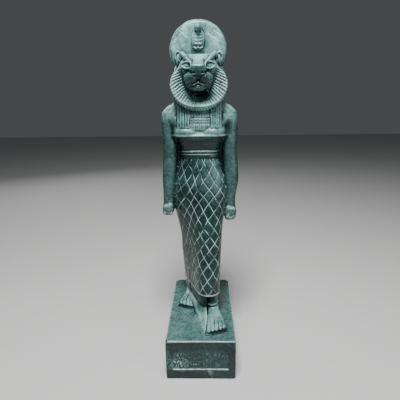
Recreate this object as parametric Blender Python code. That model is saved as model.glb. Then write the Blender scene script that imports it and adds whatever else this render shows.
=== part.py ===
"""A standing lioness-headed figure carved with its plinth and back pillar from one block of green stone.

Metres, +Z up. The figure faces -Y, and the origin is the centre of the plinth's underside.
The figure's own form is given in carver's units, of which its height above the plinth holds 261.
"""

import math

import bmesh
import bpy
import numpy as np
from mathutils import Vector

FIGURE_HEIGHT = 0.261
PLINTH_WIDTH = 0.060
PLINTH_DEPTH = 0.108
PLINTH_HEIGHT = 0.0375
PLINTH_FRONT_CORNER = 0.0015
PLINTH_BACK_CORNER = 0.0060
PLINTH_EDGE = 0.0008
PANEL_SIDE_MARGIN = 0.0060
PANEL_TOP_MARGIN = 0.0085
PANEL_BOTTOM_MARGIN = 0.0095
PANEL_DEPTH = 0.0009
STROKE_WIDTH = 0.0007
STROKE_PITCH = 0.0052
STROKE_DEPTH = 0.0005
STROKE_ROWS = 2
STROKE_START = 0.22
STROKE_SHORTEST = 0.34
STROKE_SPREAD = 0.22
PILLAR_WIDTH = 0.024
PILLAR_BACK = 0.037
PILLAR_EDGE = 0.0010

UNITS_TALL = 261
UNIT = FIGURE_HEIGHT / UNITS_TALL
LAP = 0.4
FLAT_WITHIN = math.radians(0.05)
SHARP_FROM = math.radians(28)

HEM = 22.5
BELT = 147.0
LATTICE_COLUMNS = 14
LATTICE_ROWS = 9
LATTICE_GROOVE = 0.13
LATTICE_CUT = 0.75
BODY_SIDES = 2 * LATTICE_COLUMNS

# Height, then centre x, centre y and radius of the column on the figure's right, then of the one on its left.
BODY_STATIONS = (
    (22.5, -6.5, 22.5, 10.0, 7.0, -11.5, 10.2),
    (46.0, -7.5, 21.0, 10.9, 7.5, -7.5, 10.8),
    (79.0, -8.4, 18.5, 12.4, 8.0, -1.0, 12.1),
    (92.0, -9.4, 17.0, 14.3, 8.6, 2.0, 12.8),
    (112.0, -10.5, 15.5, 15.0, 9.6, 7.0, 14.5),
    (138.0, -8.5, 14.0, 11.4, 8.0, 11.0, 11.0),
    (150.0, -7.0, 13.0, 9.9, 6.8, 12.5, 9.5),
    (158.0, -8.4, 12.0, 11.0, 8.4, 12.0, 11.0),
    (165.5, -9.5, 10.0, 12.6, 9.5, 10.0, 12.6),
    (173.0, -12.5, 11.0, 12.2, 12.5, 11.0, 12.2),
    (181.0, -20.5, 13.0, 10.0, 20.5, 13.0, 10.0),
    (186.5, -21.0, 14.0, 9.0, 21.0, 14.0, 9.0),
    (190.5, -19.0, 14.0, 8.2, 19.0, 14.0, 8.2),
    (193.6, -15.0, 14.0, 7.0, 15.0, 14.0, 7.0),
)


def at(x, y, z):
    """A point of the figure, in carver's units from the middle of the plinth's top."""
    return Vector((x * UNIT, y * UNIT, PLINTH_HEIGHT + z * UNIT))


def stone():
    """Dark green-grey stone with a waxy polish."""
    material = bpy.data.materials.new("green_stone")
    material.use_nodes = True
    shader = material.node_tree.nodes["Principled BSDF"]
    shader.inputs["Base Color"].default_value = (0.060, 0.130, 0.120, 1.0)
    shader.inputs["Roughness"].default_value = 0.45
    shader.inputs["Metallic"].default_value = 0.0
    return material


def finish(name, shape, collection):
    """Turn a bmesh into an object, with its bent faces split flat and every face pointing out."""
    bmesh.ops.connect_verts_nonplanar(shape, angle_limit=FLAT_WITHIN, faces=shape.faces)
    bmesh.ops.recalc_face_normals(shape, faces=shape.faces)
    mesh = bpy.data.meshes.new(name)
    shape.to_mesh(mesh)
    shape.free()
    mesh.shade_smooth()
    mesh.set_sharp_from_angle(angle=SHARP_FROM)
    thing = bpy.data.objects.new(name, mesh)
    collection.objects.link(thing)
    return thing


def bridge(shape, below, above):
    """A belt of quads between two closed rings of equal count."""
    count = len(below)
    for i in range(count):
        j = (i + 1) % count
        shape.faces.new((below[i], below[j], above[j], above[i]))


def loft(name, rings, collection):
    """A closed form skinned over a run of rings of equal count."""
    shape = bmesh.new()
    loops = [[shape.verts.new(point) for point in ring] for ring in rings]
    for below, above in zip(loops, loops[1:]):
        bridge(shape, below, above)
    shape.faces.new(loops[0])
    shape.faces.new(loops[-1])
    return finish(name, shape, collection)


def ellipse(x, y, z, half_x, half_y, sides, power=2.0, offset=0.5):
    """A level ring: an ellipse, or a squarer one where the power is above 2. The offset turns it by sides."""
    ring = []
    for i in range(sides):
        turn = 2 * math.pi * (i + offset) / sides
        across, along = math.cos(turn), math.sin(turn)
        across = math.copysign(abs(across) ** (2 / power), across)
        along = math.copysign(abs(along) ** (2 / power), along)
        ring.append(at(x + half_x * across, y + half_y * along, z))
    return ring


def upright_ring(x, y, z, half_x, half_z, sides, power=2.0):
    """The same ring standing up, square to the way the figure faces."""
    flat = ellipse(0, 0, 0, half_x, half_z, sides, power)
    return [Vector((p.x, 0, PLINTH_HEIGHT + p.y)) + at(x, y, z) - at(0, 0, 0) for p in flat]


def ball(name, centre, radii, collection, segments, rings):
    """An ellipsoid with its poles up and down."""
    shape = bmesh.new()
    bmesh.ops.create_uvsphere(shape, u_segments=segments, v_segments=rings, radius=UNIT)
    for vertex in shape.verts:
        vertex.co = Vector([vertex.co[k] * radii[k] for k in range(3)]) + at(*centre)
    return finish(name, shape, collection)


def rope(name, points, radii, sides, collection):
    """A rounded band along a run of points that lies on the front of the figure, with a radius at each."""
    points = [np.array(point, float) for point in points]
    rings = []
    for k, point in enumerate(points):
        run = points[min(k + 1, len(points) - 1)] - points[max(k - 1, 0)]
        aside = np.cross(run, (0, 1, 0))
        aside /= np.linalg.norm(aside)
        outward = np.cross(aside, run / np.linalg.norm(run))
        ring = []
        for i in range(sides):
            turn = 2 * math.pi * i / sides
            ring.append(at(*(point + radii[k] * (math.cos(turn) * aside + math.sin(turn) * outward))))
        rings.append(ring)
    loft(name, rings, collection)


def limb(name, stations, sides, collection):
    """A round limb through level ellipses: height, x, y, half width, half depth."""
    rings = [ellipse(x, y, z, half_x, half_y, sides, offset=0) for z, x, y, half_x, half_y in stations]
    return loft(name, rings, collection)


def eased(heights, values, height):
    """A smooth curve through the values at the given heights."""
    slopes = np.gradient(values, heights)
    k = int(np.clip(np.searchsorted(heights, height) - 1, 0, len(heights) - 2))
    span = heights[k + 1] - heights[k]
    t = (height - heights[k]) / span
    start = (1 + 2 * t) * (1 - t) ** 2 * values[k] + t * (1 - t) ** 2 * span * slopes[k]
    end = t * t * (3 - 2 * t) * values[k + 1] + t * t * (t - 1) * span * slopes[k + 1]
    return start + end


def columns_at(height):
    """The two columns whose shared wrapping is the body's outline at this height."""
    table = np.array(BODY_STATIONS)
    row = [eased(table[:, 0], table[:, k], height) for k in range(1, 7)]
    return row[:3], row[3:]


OUTLINE_SOFTNESS = 0.8


def outline_at(height, count):
    """Points and outward directions, equally far apart, round the wrapping of the two columns."""
    turns = np.linspace(0, 2 * math.pi, 721) + math.pi / 2
    normals = np.stack([np.cos(turns), np.sin(turns)], axis=1)
    reach = [normals @ np.array(column[:2]) + column[2] for column in columns_at(height)]
    soft = OUTLINE_SOFTNESS
    support = np.logaddexp(reach[0] / soft, reach[1] / soft) * soft - soft * math.log(2) / 2
    slope = np.gradient(support, turns)
    points = normals * support[:, None] + np.stack([-normals[:, 1], normals[:, 0]], axis=1) * slope[:, None]
    walked = np.concatenate([[0], np.cumsum(np.linalg.norm(np.diff(points, axis=0), axis=1))])
    stops = np.arange(count) * walked[-1] / count
    spots = np.stack([np.interp(stops, walked, points[:, k]) for k in range(2)], axis=1)
    facing = np.stack([np.interp(stops, walked, normals[:, k]) for k in range(2)], axis=1)
    return spots, facing


def lattice_height(row):
    """The height of a half row of the lattice above the plinth."""
    return HEM + LAP + (BELT - HEM - LAP) * row / (2 * LATTICE_ROWS)


COLUMN_STEPS = 20


def dress_point(column, row, depth):
    """A point of the dress: half columns round from the back, half rows up, and a depth below the surface."""
    count = BODY_SIDES * COLUMN_STEPS
    spots, facing = outline_at(lattice_height(row), count)
    k = int(round(column * COLUMN_STEPS)) % count
    x, y = spots[k] - facing[k] * depth
    return at(x, y, lattice_height(row))


def lattice_cell(shape, node, column, row):
    """One raised diamond: its rim lies in the grooves and its face stands at the surface."""
    reach = 1 - LATTICE_GROOVE
    corners = [node(column - 1, row), node(column, row - 1), node(column + 1, row), node(column, row + 1)]
    shifts = ((-reach, 0), (0, -reach), (reach, 0), (0, reach))
    face = [shape.verts.new(dress_point(column + a, row + b, 0)) for a, b in shifts]
    for k in range(4):
        j = (k + 1) % 4
        shape.faces.new((corners[k], corners[j], face[j], face[k]))
    west, south, east, north = face
    shape.faces.new((west, south, north))
    shape.faces.new((south, east, north))


def half_cell(shape, node, column, row, inward):
    """Half a diamond against the hem or the belt. Returns the point in the middle of its cut side."""
    first, last = node(column - 1, row), node(column + 1, row)
    tip = node(column, row + inward)
    side = shape.verts.new(dress_point(column, row, 0))
    middle = shape.verts.new(dress_point(column, row + 0.4 * inward, 0))
    for pair in ((first, side), (side, last), (last, tip), (tip, first)):
        shape.faces.new((*pair, middle))
    return side


def carve_dress(shape):
    """The lattice of cut diamonds. Returns its lowest and highest rings of points."""
    known = {}

    def node(column, row):
        key = (column % BODY_SIDES, row)
        if key not in known:
            known[key] = shape.verts.new(dress_point(column, row, LATTICE_CUT))
        return known[key]

    top = 2 * LATTICE_ROWS
    for row in range(1, top):
        for column in range((row + 1) % 2, BODY_SIDES, 2):
            lattice_cell(shape, node, column, row)
    rings = []
    for row, inward in ((0, 1), (top, -1)):
        sides = {column: half_cell(shape, node, column, row, inward) for column in range(1, BODY_SIDES, 2)}
        rings.append([sides[k] if k in sides else node(k, row) for k in range(BODY_SIDES)])
    return rings


def body_ring(height, swell):
    """A level ring round the body, standing out from it by the swell."""
    spots, facing = outline_at(height, BODY_SIDES)
    return [at(*(spot + away * swell), height) for spot, away in zip(spots, facing)]


# The height of each moulding above the lattice, and how far it stands out.
MOULDINGS = (
    (BELT + 0.9, 0.9), (BELT + 2.4, -0.6), (BELT + 4.0, 1.1), (BELT + 5.4, 0.1), (160.4, 0.0), (161.0, 0.5),
    (163.8, 0.2), (165.4, 2.4), (167.6, 1.2), (174.0, 0.0), (181.0, 0.0), (188.5, 0.0), (193.6, 0.0),
)
HEM_SWELL = 0.45


def body(collection):
    """Dress, waist, chest and shoulders in one skin, from the hem's underside to the neck."""
    shape = bmesh.new()
    low, high = carve_dress(shape)
    below = high
    for height, swell in MOULDINGS:
        above = [shape.verts.new(point) for point in body_ring(height, swell)]
        bridge(shape, below, above)
        below = above
    shape.faces.new(below)
    rim = [shape.verts.new(point) for point in body_ring(HEM, HEM_SWELL)]
    bridge(shape, rim, low)
    shape.faces.new(rim)
    return finish("sekhmet_statue", shape, collection)


BREAST = (12.0, 3.0, 168.8)
BREAST_RADII = (8.8, 8.2, 4.6)


def breasts(collection):
    """The two low breasts above the dress's upper edge."""
    x, y, z = BREAST
    for side in (-1, 1):
        ball(f"breast_{side}", (x * side, y, z), BREAST_RADII, collection, 10, 6)


# Height, centre x, centre y, half width and half depth of each arm, from the shoulder down.
ARMS = {
    -1: (
        (189.8, -24.4, 14.0, 3.2, 4.5), (187.0, -26.0, 14.0, 5.7, 6.6), (182.5, -27.0, 14.0, 7.0, 7.8),
        (172.0, -27.0, 13.5, 6.9, 8.0), (160.0, -26.9, 12.5, 6.7, 7.6), (146.0, -27.2, 11.8, 6.4, 7.2),
        (125.0, -28.6, 10.3, 6.8, 7.0), (111.0, -29.2, 9.2, 5.3, 5.8), (99.0, -29.8, 8.4, 5.0, 5.4),
    ),
    1: (
        (189.8, 24.2, 14.0, 3.2, 4.5), (186.6, 25.8, 14.0, 5.7, 6.6), (182.0, 26.8, 14.0, 7.0, 7.8),
        (172.0, 27.1, 13.5, 6.9, 8.0), (160.0, 27.0, 12.5, 6.7, 7.6), (146.0, 27.4, 11.8, 6.5, 7.2),
        (125.0, 28.6, 10.3, 6.8, 7.0), (110.0, 27.4, 9.2, 5.4, 5.8), (96.0, 27.6, 8.4, 5.1, 5.4),
    ),
}
FISTS = {-1: (-29.9, 8.4, 98.2, 5.3, 7.8, 5.2), 1: (27.7, 8.4, 94.2, 5.7, 8.0, 6.2)}
LIMB_SIDES = 8
FINGERS = 4


def fist(side, collection):
    """A closed hand, with the finger ends curled under and the thumb laid over them in front."""
    x, y, z, half_x, half_y, half_z = FISTS[side]
    rings = []
    steps = 2 * FINGERS + 1
    for k in range(steps):
        along = -1 + 2 * k / (steps - 1)
        pinch = 0.90 if k % 2 == 0 else 1.0
        size = pinch * (1 - 0.22 * along**6)
        rings.append(upright_ring(x, y + half_y * along, z, half_x * size, half_z * size, 6, 2.8))
    loft(f"fist_{side}", rings, collection)
    palm = y - half_y
    thumb = [(x - 2.2 * side, palm + 3.0, z + half_z), (x - 1.8 * side, palm + 1.4, z + 1.6),
             (x, palm + 1.0, z - 2.0)]
    rope(f"thumb_{side}", thumb, (1.7, 2.0, 1.4), 5, collection)


def arms(collection):
    """The arms hang straight, joined to the body by a web of stone that stays in the gap behind them."""
    for side in (-1, 1):
        limb(f"arm_{side}", ARMS[side], LIMB_SIDES, collection)
        fist(side, collection)
        inner, outer = 9.0 * side, 27.0 * side
        rings = [[at(inner, 12.5, z), at(outer, 12.5, z), at(outer, 17.0, z), at(inner, 17.0, z)]
                 for z in (110.0, 178.0)]
        loft(f"arm_web_{side}", rings, collection)


# Centre x, centre y, half width and half depth of each ankle.
ANKLES = {-1: (-7.0, 22.5, 7.2, 7.6), 1: (10.2, -11.4, 5.6, 7.6)}
ANKLE_RING = 0.6
TOE_TIPS = {-1: (-13.4, -5.4), 1: (13.9, -44.6)}
TOES = 5
FOOT_HALF = 9.0
HEEL_BACK = 9.0
TOE_LENGTH = 7.5
TOE_FALL = 6.0
# Share of the way from heel to toes, half width and height of the foot.
FOOT_STATIONS = (
    (0.0, 4.2, 7.0), (0.08, 5.0, 10.5), (0.25, 5.6, 12.6), (0.45, 6.4, 10.6), (0.7, 7.9, 7.4),
    (1.0, FOOT_HALF, 4.6),
)


def leg(side, collection):
    """The stretch from under the hem to the foot, with a ring worn above the ankle."""
    x, y, wide, deep = ANKLES[side]
    swells = ((2.0, -0.6), (11.2, 0.0), (11.8, ANKLE_RING), (13.0, ANKLE_RING), (13.6, 0.0), (HEM + LAP, 0.0))
    stations = [(z, x, y, wide + swell, deep + swell) for z, swell in swells]
    limb(f"leg_{side}", stations, LIMB_SIDES, collection)


def on_the_ground(ring):
    """The same ring with what lies below the plinth's top lifted to just under it."""
    return [Vector((p.x, p.y, max(p.z, PLINTH_HEIGHT - LAP * UNIT))) for p in ring]


def foot(side, collection):
    """The foot widens from the heel to five long toes, cut apart by straight grooves."""
    x, y, _, _ = ANKLES[side]
    tip_x, tip_y = TOE_TIPS[side]
    toe_root = tip_y + TOE_LENGTH
    heel = y + HEEL_BACK
    rings = []
    for share, half, tall in FOOT_STATIONS:
        middle = x + (tip_x - x) * share
        level = heel + (toe_root - heel) * share
        rings.append(on_the_ground(upright_ring(middle, level, 0, half, tall, 10, 2.4)))
    loft(f"foot_{side}", rings, collection)
    width = 2 * FOOT_HALF / TOES
    for k in range(TOES):
        across = width * (k + 0.5) - FOOT_HALF
        outward = (across * side + FOOT_HALF) / (2 * FOOT_HALF)
        tip = tip_y + TOE_FALL * outward**2
        toe(f"toe_{side}_{k}", tip_x + across, toe_root, tip, width, outward, collection)


def toe(name, x, root, tip, width, outward, collection):
    """One toe: a low rounded bar that drops towards its tip. The big toe is the stoutest."""
    half = 0.5 * width * 1.02
    tall = 4.8 - 0.9 * outward
    buried = root + 2.0
    rings = []
    for share, size in ((0.0, 1.0), (0.8, 0.9), (1.0, 0.55)):
        level = buried + (tip - buried) * share
        rings.append(on_the_ground(upright_ring(x, level, 0, half * (0.6 + 0.4 * size), tall * size, 6, 2.6)))
    loft(name, rings, collection)


# Plan of the stone between the legs. Its flank lies flush with the dress, and it stops short of the front
# ankle.
WALL_FLANK = ((-15.0, 19.1), (-1.7, -15.0), (-0.2, -17.5), (2.2, -19.6), (5.0, -20.7), (5.0, 12.0))
WALL_BEHIND = ((4.0, -4.0), (14.0, -4.0), (2.0, 25.9), (-6.5, 31.6), (-13.0, 29.0), (-14.6, 20.0))
# Depth, foot of the slope, crest and height of the ridge between the feet.
RIDGE = (
    (20.0, -17.0, -15.6, 7.4), (10.0, -13.8, -11.8, 8.6), (2.0, -10.6, -8.6, 9.0), (-8.0, -7.2, -4.2, 9.6),
    (-18.0, -4.5, 4.0, 8.0), (-28.0, -3.0, 4.8, 5.0), (-38.0, -1.5, 4.0, 2.4), (-44.0, 1.0, 3.0, 0.4),
)


def between_the_legs(collection):
    """Stone left standing between the legs, and a sloping ridge that runs forward between the feet."""
    for name, plan, deeper in (("wall_flank", WALL_FLANK, 0.0), ("wall_behind", WALL_BEHIND, 0.2)):
        rings = [[at(x, y, z) for x, y in plan] for z in (-LAP - deeper, HEM + LAP + deeper)]
        loft(name, rings, collection)
    rings = []
    for y, foot_of_slope, crest, tall in RIDGE:
        rings.append([at(foot_of_slope, y, -LAP), at(crest + 0.5, y, -LAP), at(crest, y, tall),
                      at(0.5 * (foot_of_slope + crest), y, 0.45 * tall)])
    loft("ridge", rings, collection)


DISK_X = -0.6
DISK_RADIUS = 24.6
DISK_SIDES = 22
# Depth of each ring of the disk, and its radius as a share.
DISK_PROFILE = ((10.6, 0.40), (12.2, 0.82), (14.6, 0.97), (17.6, 1.0), (21.0, 0.97), (23.4, 0.80))


def disk(collection):
    """The sun disk: a thick round plate with a slightly domed face and eased edges."""
    rings = []
    for y, share in DISK_PROFILE:
        reach = DISK_RADIUS * share
        rings.append(upright_ring(DISK_X, y, UNITS_TALL - DISK_RADIUS, reach, reach, DISK_SIDES))
    loft("disk", rings, collection)


# Height, half width and foremost depth of the cobra's hood.
HOOD_STATIONS = (
    (231.5, 4.1, 9.6), (238.5, 5.2, 7.7), (242.5, 6.0, 7.2), (246.5, 6.0, 7.1), (249.5, 5.0, 7.3),
    (252.5, 3.0, 7.9),
)
HOOD_BACK = 13.0
COBRA_BARS = 4
BAR_PITCH = 2.9


def cobra(collection):
    """The rearing cobra in relief on the disk: a hood with cross bars up its middle, and a raised head."""
    rings = []
    for z, half, front in HOOD_STATIONS:
        rings.append(ellipse(DISK_X, HOOD_BACK, z, half, HOOD_BACK - front, 8, 2.6))
    loft("cobra_hood", rings, collection)
    rings = []
    for k in range(2 * COBRA_BARS + 1):
        stand = 1.0 if k % 2 else 0.3
        rings.append(ellipse(DISK_X, 8.4, 237.0 + BAR_PITCH / 2 * k, 3.3, 1.2 + stand, 6, 2.6))
    loft("cobra_bars", rings, collection)
    ball("cobra_head", (DISK_X, 6.9, 252.6), (3.1, 4.6, 3.3), collection, 8, 6)


HEAD_X = -0.4
# Centre x, centre z, half width and half height of each ear.
EARS = {-1: (-17.3, 229.8, 3.6, 6.2), 1: (17.0, 229.2, 3.9, 6.5)}


def ear(side, collection):
    """A rounded ear, hollowed in front."""
    x, z, wide, tall = EARS[side]
    rings = []
    for y, share in ((11.0, 0.55), (7.4, 1.0), (4.2, 0.92), (4.6, 0.66), (5.9, 0.42)):
        rings.append(upright_ring(x, y, z, wide * share, tall * share, 8, 2.2))
    loft(f"ear_{side}", rings, collection)


def eye(side, collection):
    """An almond eye with a raised lid above and below."""
    x, y, z = HEAD_X + 9.5 * side, -4.2, 222.3
    ball(f"eye_{side}", (x, y + 2.0, z), (4.0, 3.0, 2.3), collection, 8, 6)
    for upward, name in ((1, "upper"), (-1, "lower")):
        lid = []
        for k in range(5):
            share = -1 + k / 2
            arch = 1 - share * share
            lid.append((x + 4.5 * share, y - 0.9 * arch + 1.3 * share * side, z + upward * 2.7 * arch))
        rope(f"{name}_lid_{side}", lid, (0.4, 0.8, 0.9, 0.8, 0.4), 4, collection)


def half_face(side, collection):
    """One side of the face: temple, cheek, whisker pad, brow band, ear and eye."""
    ball(f"temple_{side}", (HEAD_X + 9.4 * side, 2.2, 221.6), (6.8, 7.0, 6.6), collection, 8, 6)
    ball(f"cheek_{side}", (HEAD_X + 8.4 * side, 3.2, 213.6), (4.6, 7.6, 8.2), collection, 8, 6)
    ball(f"pad_{side}", (HEAD_X + 5.6 * side, -6.9, 211.9), (6.3, 6.4, 5.1), collection, 10, 6)
    band = [(HEAD_X + a * side, b, c) for a, b, c in (
        (5.4, -7.6, 220.6), (6.8, -5.6, 224.6), (9.6, -2.8, 227.4), (13.6, 3.8, 232.0))]
    rope(f"brow_{side}", band, (0.8, 1.4, 2.1, 2.2), 5, collection)
    ear(side, collection)
    eye(side, collection)


def head(collection):
    """The lioness: skull, brow, a straight nose bridge, the muzzle, the nose leather and the chin."""
    ball("skull", (HEAD_X, 9.0, 218.5), (15.8, 12.2, 13.2), collection, 10, 6)
    rings = [ellipse(HEAD_X, 9.5, z, half_x, half_y, 12, 3.2) for z, half_x, half_y in (
        (221.0, 12.6, 11.4), (228.6, 11.8, 10.4), (231.0, 11.0, 9.6), (231.6, 10.4, 9.0))]
    loft("brow_band", rings, collection)
    rings = [upright_ring(HEAD_X, y, z, half_x, half_z, 10, 3.0) for y, z, half_x, half_z in (
        (1.0, 221.8, 8.2, 7.8), (-3.0, 221.2, 5.4, 7.2), (-6.5, 220.1, 4.2, 6.1), (-10.0, 219.0, 4.7, 5.0),
        (-13.0, 218.0, 5.0, 3.9))]
    loft("nose_bridge", rings, collection)
    rings = [ellipse(HEAD_X, -9.0, z, half_x, half_y, 10, 2.8) for z, half_x, half_y in (
        (211.2, 1.0, 2.4), (213.6, 2.0, 3.1), (215.8, 4.8, 4.0), (217.8, 7.0, 4.7), (219.6, 6.4, 5.0),
        (221.6, 5.0, 4.4))]
    loft("nose_leather", rings, collection)
    rings = [upright_ring(HEAD_X, y, 211.6, half_x, half_z, 10, 2.4) for y, half_x, half_z in (
        (5.0, 11.6, 9.6), (-1.0, 11.1, 8.3), (-5.5, 9.8, 7.0), (-8.4, 7.6, 5.4))]
    loft("muzzle", rings, collection)
    for side in (-1, 1):
        half_face(side, collection)
    ball("chin", (HEAD_X, -5.4, 205.2), (6.6, 5.6, 3.2), collection, 8, 6)


THROAT = (HEAD_X, 1.2, 200.6)
THROAT_RADII = (8.4, 9.6, 4.8)


def throat_hollow(collection):
    """The deep hollow under the chin, inside the mane."""
    ball("throat", THROAT, THROAT_RADII, collection, 10, 6)


RUFF_LEVEL = 207.0
RUFF_RIBS = 28
RUFF_INNER = 10.8
RUFF_SPREAD = math.radians(136)


def ruff_section(turn, lift):
    """One slice through the ruff, as distances from its middle and depths, at an angle from straight down."""
    down = 0.5 + 0.5 * math.cos(turn)
    under = down**4
    outer = (25.4 - 8.1 * down**3) * (1 - 0.20 * (abs(turn) / RUFF_SPREAD) ** 5)
    return (
        (RUFF_INNER - 0.5, 9.0), (RUFF_INNER, 2.4 - 1.4 * down),
        (0.5 * (RUFF_INNER + outer), -0.1 - 3.6 * down - lift), (outer - 0.5, -1.5 - 5.8 * down - lift),
        (outer + 0.4 + 2.6 * under, 2.0 - 6.0 * down), (outer - 1.0 + 6.5 * under, 9.0 - 4.0 * under),
    )


def ruff(collection):
    """The mane, a thick ribbed collar from ear to ear under the chin. It flares forward at the bottom."""
    steps = 2 * RUFF_RIBS
    rings = []
    for k in range(steps + 1):
        turn = -RUFF_SPREAD + 2 * RUFF_SPREAD * k / steps
        lift = 0.4 if k % 2 else -0.5
        rings.append([at(reach * math.sin(turn), depth, RUFF_LEVEL - reach * math.cos(turn))
                      for reach, depth in ruff_section(turn, lift)])
    loft("ruff", rings, collection)


# Height, half width and half depth of the wig behind the ruff.
WIG_STATIONS = (
    (186.0, 22.4, 11.0), (204.0, 22.9, 11.5), (218.0, 21.9, 11.0), (226.0, 18.8, 10.2), (231.4, 13.0, 8.6),
)
WIG_Y = 14.0
# How far from the middle each of the wig's tails starts and ends.
TAILS = {-1: (8.2, 19.6), 1: (9.4, 19.4)}
TAIL_FRONT = ((172.2, -4.5), (181.0, -2.1), (191.0, -0.1))
TAIL_ROLLS = 5


def wig(collection):
    """The wig behind the ruff, and its two striped tails that lie on the chest."""
    rings = [ellipse(0, WIG_Y, z, half_x, half_y, 10, 3.0) for z, half_x, half_y in WIG_STATIONS]
    loft("wig_back", rings, collection)
    for side in (-1, 1):
        tail(side, collection)


def tail(side, collection):
    """A tail of the wig: upright rolls side by side, ending square above the breast."""
    inner, outer = TAILS[side]
    steps = 2 * TAIL_ROLLS
    rings = []
    for z, front in TAIL_FRONT:
        ring = []
        for k in range(steps + 1):
            share = k / steps
            bulge = 0.5 if k % 2 else 0.0
            ring.append(at(side * (inner + (outer - inner) * share), front + 3.8 * share**2 - bulge, z))
        rings.append(ring + [at(side * outer, 12.0, z), at(side * inner, 12.0, z)])
    loft(f"tail_{side}", rings, collection)


COLLAR_BEADS = 6
# Height, half width, depth of the front and how far its beads stand out, up the collar.
COLLAR_STATIONS = (
    (169.9, 4.5, -3.5, 0.0), (171.4, 7.6, -3.5, 0.6), (175.2, 9.2, -3.0, 0.6), (176.2, 9.4, -2.9, 0.0),
    (180.4, 9.6, -2.2, 0.0), (181.2, 9.6, -2.0, 0.6), (184.0, 9.6, -1.6, 0.6), (190.0, 9.6, -0.4, 0.0),
)


def collar(collection):
    """The broad collar showing between the tails: two rows of upright beads with a plain row between them."""
    steps = 2 * COLLAR_BEADS
    rings = []
    for z, half, front, bead in COLLAR_STATIONS:
        ring = []
        for k in range(steps + 1):
            share = -1 + 2 * k / steps
            ring.append(at(half * share, front + 0.8 * share**2 - (bead if k % 2 else 0.0), z))
        rings.append(ring + [at(half, 8.0, z), at(-half, 8.0, z)])
    loft("collar", rings, collection)


PILLAR_FRONT = 8.0
PILLAR_TOP = 226.0


def pillar(collection):
    """The back pillar, square and plain, from the plinth to behind the head."""
    top = at(0, 0, PILLAR_TOP).z
    front = at(0, PILLAR_FRONT, 0).y
    half = PILLAR_WIDTH / 2
    shape = bmesh.new()
    bmesh.ops.create_cube(shape, size=1.0)
    for vertex in shape.verts:
        x = half if vertex.co.x > 0 else -half
        y = PILLAR_BACK if vertex.co.y > 0 else front
        z = top if vertex.co.z > 0 else PLINTH_HEIGHT - LAP * UNIT
        vertex.co = Vector((x, y, z))
    back_edges = [edge for edge in shape.edges if all(v.co.y > front + UNIT for v in edge.verts)]
    eased_edges = [edge for edge in back_edges if any(v.co.z > PLINTH_HEIGHT + UNIT for v in edge.verts)]
    bmesh.ops.bevel(shape, geom=eased_edges, offset=PILLAR_EDGE, segments=1, affect="EDGES")
    return finish("pillar", shape, collection)


CORNER_STEPS = 4


def plinth_outline(inset):
    """The plinth's plan, with rounded corners, set in by the given amount."""
    points = []
    for quarter, (side_x, side_y) in enumerate(((1, 1), (-1, 1), (-1, -1), (1, -1))):
        radius = PLINTH_BACK_CORNER if side_y > 0 else PLINTH_FRONT_CORNER
        middle = Vector((side_x * (PLINTH_WIDTH / 2 - radius), side_y * (PLINTH_DEPTH / 2 - radius)))
        for step in range(CORNER_STEPS + 1):
            turn = math.pi / 2 * (quarter + step / CORNER_STEPS)
            points.append(middle + Vector((math.cos(turn), math.sin(turn))) * (radius - inset))
    return points


def plinth(collection):
    """The block under the feet, with its top edge worn round."""
    rings = []
    for height, inset in ((0, 0), (PLINTH_HEIGHT - PLINTH_EDGE, 0), (PLINTH_HEIGHT, PLINTH_EDGE)):
        rings.append([Vector((p.x, p.y, height)) for p in plinth_outline(inset)])
    return loft("plinth", rings, collection)


def block(name, low, high, collection):
    """A square box between two corners."""
    shape = bmesh.new()
    bmesh.ops.create_cube(shape, size=1.0)
    for vertex in shape.verts:
        vertex.co = Vector([high[k] if vertex.co[k] > 0 else low[k] for k in range(3)])
    return finish(name, shape, collection)


def panel_cutters(collection):
    """The sunk panel on the plinth's front, and the rows of short strokes cut in it."""
    half = PLINTH_WIDTH / 2 - PANEL_SIDE_MARGIN
    low, high = PANEL_BOTTOM_MARGIN, PLINTH_HEIGHT - PANEL_TOP_MARGIN
    face = -PLINTH_DEPTH / 2
    outside = face - PANEL_DEPTH
    floor = face + PANEL_DEPTH
    block("panel_cut", (-half, outside, low), (half, floor, high), collection)
    row_height = (high - low) / STROKE_ROWS
    count = int((2 * half) / STROKE_PITCH)
    for row in range(STROKE_ROWS):
        for k in range(count):
            x = (k - (count - 1) / 2) * STROKE_PITCH
            bottom = low + row_height * (row + STROKE_START)
            tall = row_height * (STROKE_SHORTEST + STROKE_SPREAD * ((k + row) % 3) / 2)
            block(f"stroke_{row}_{k}", (x - STROKE_WIDTH / 2, outside, bottom),
                  (x + STROKE_WIDTH / 2, floor + STROKE_DEPTH, bottom + tall), collection)


def helper_collection(name):
    """A collection for forms that are joined to the statue or cut from it."""
    collection = bpy.data.collections.new(name)
    bpy.context.scene.collection.children.link(collection)
    return collection


def hide_helpers(collection):
    """Show the forms as wires only, and leave them out of any picture."""
    for thing in collection.objects:
        thing.hide_render = True
        thing.display_type = "WIRE"


def combine(thing, collection, operation):
    """Join every form of the collection to the thing, or cut them all from it."""
    modifier = thing.modifiers.new(operation.lower(), "BOOLEAN")
    modifier.operation = operation
    modifier.solver = "EXACT"
    modifier.operand_type = "COLLECTION"
    modifier.collection = collection
    hide_helpers(collection)


for leftover in list(bpy.data.objects):
    bpy.data.objects.remove(leftover, do_unlink=True)

added = helper_collection("carved_forms")
cut = helper_collection("cuts")
statue = body(bpy.context.scene.collection)
breasts(added)
arms(added)
for side in (-1, 1):
    leg(side, added)
    foot(side, added)
between_the_legs(added)
disk(added)
cobra(added)
head(added)
ruff(added)
wig(added)
collar(added)
pillar(added)
plinth(added)
panel_cutters(cut)
throat_hollow(cut)
combine(statue, added, "UNION")
combine(statue, cut, "DIFFERENCE")
statue.data.materials.append(stone())
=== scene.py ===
import math

import bpy
import numpy as np
from mathutils import Matrix, Vector


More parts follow.
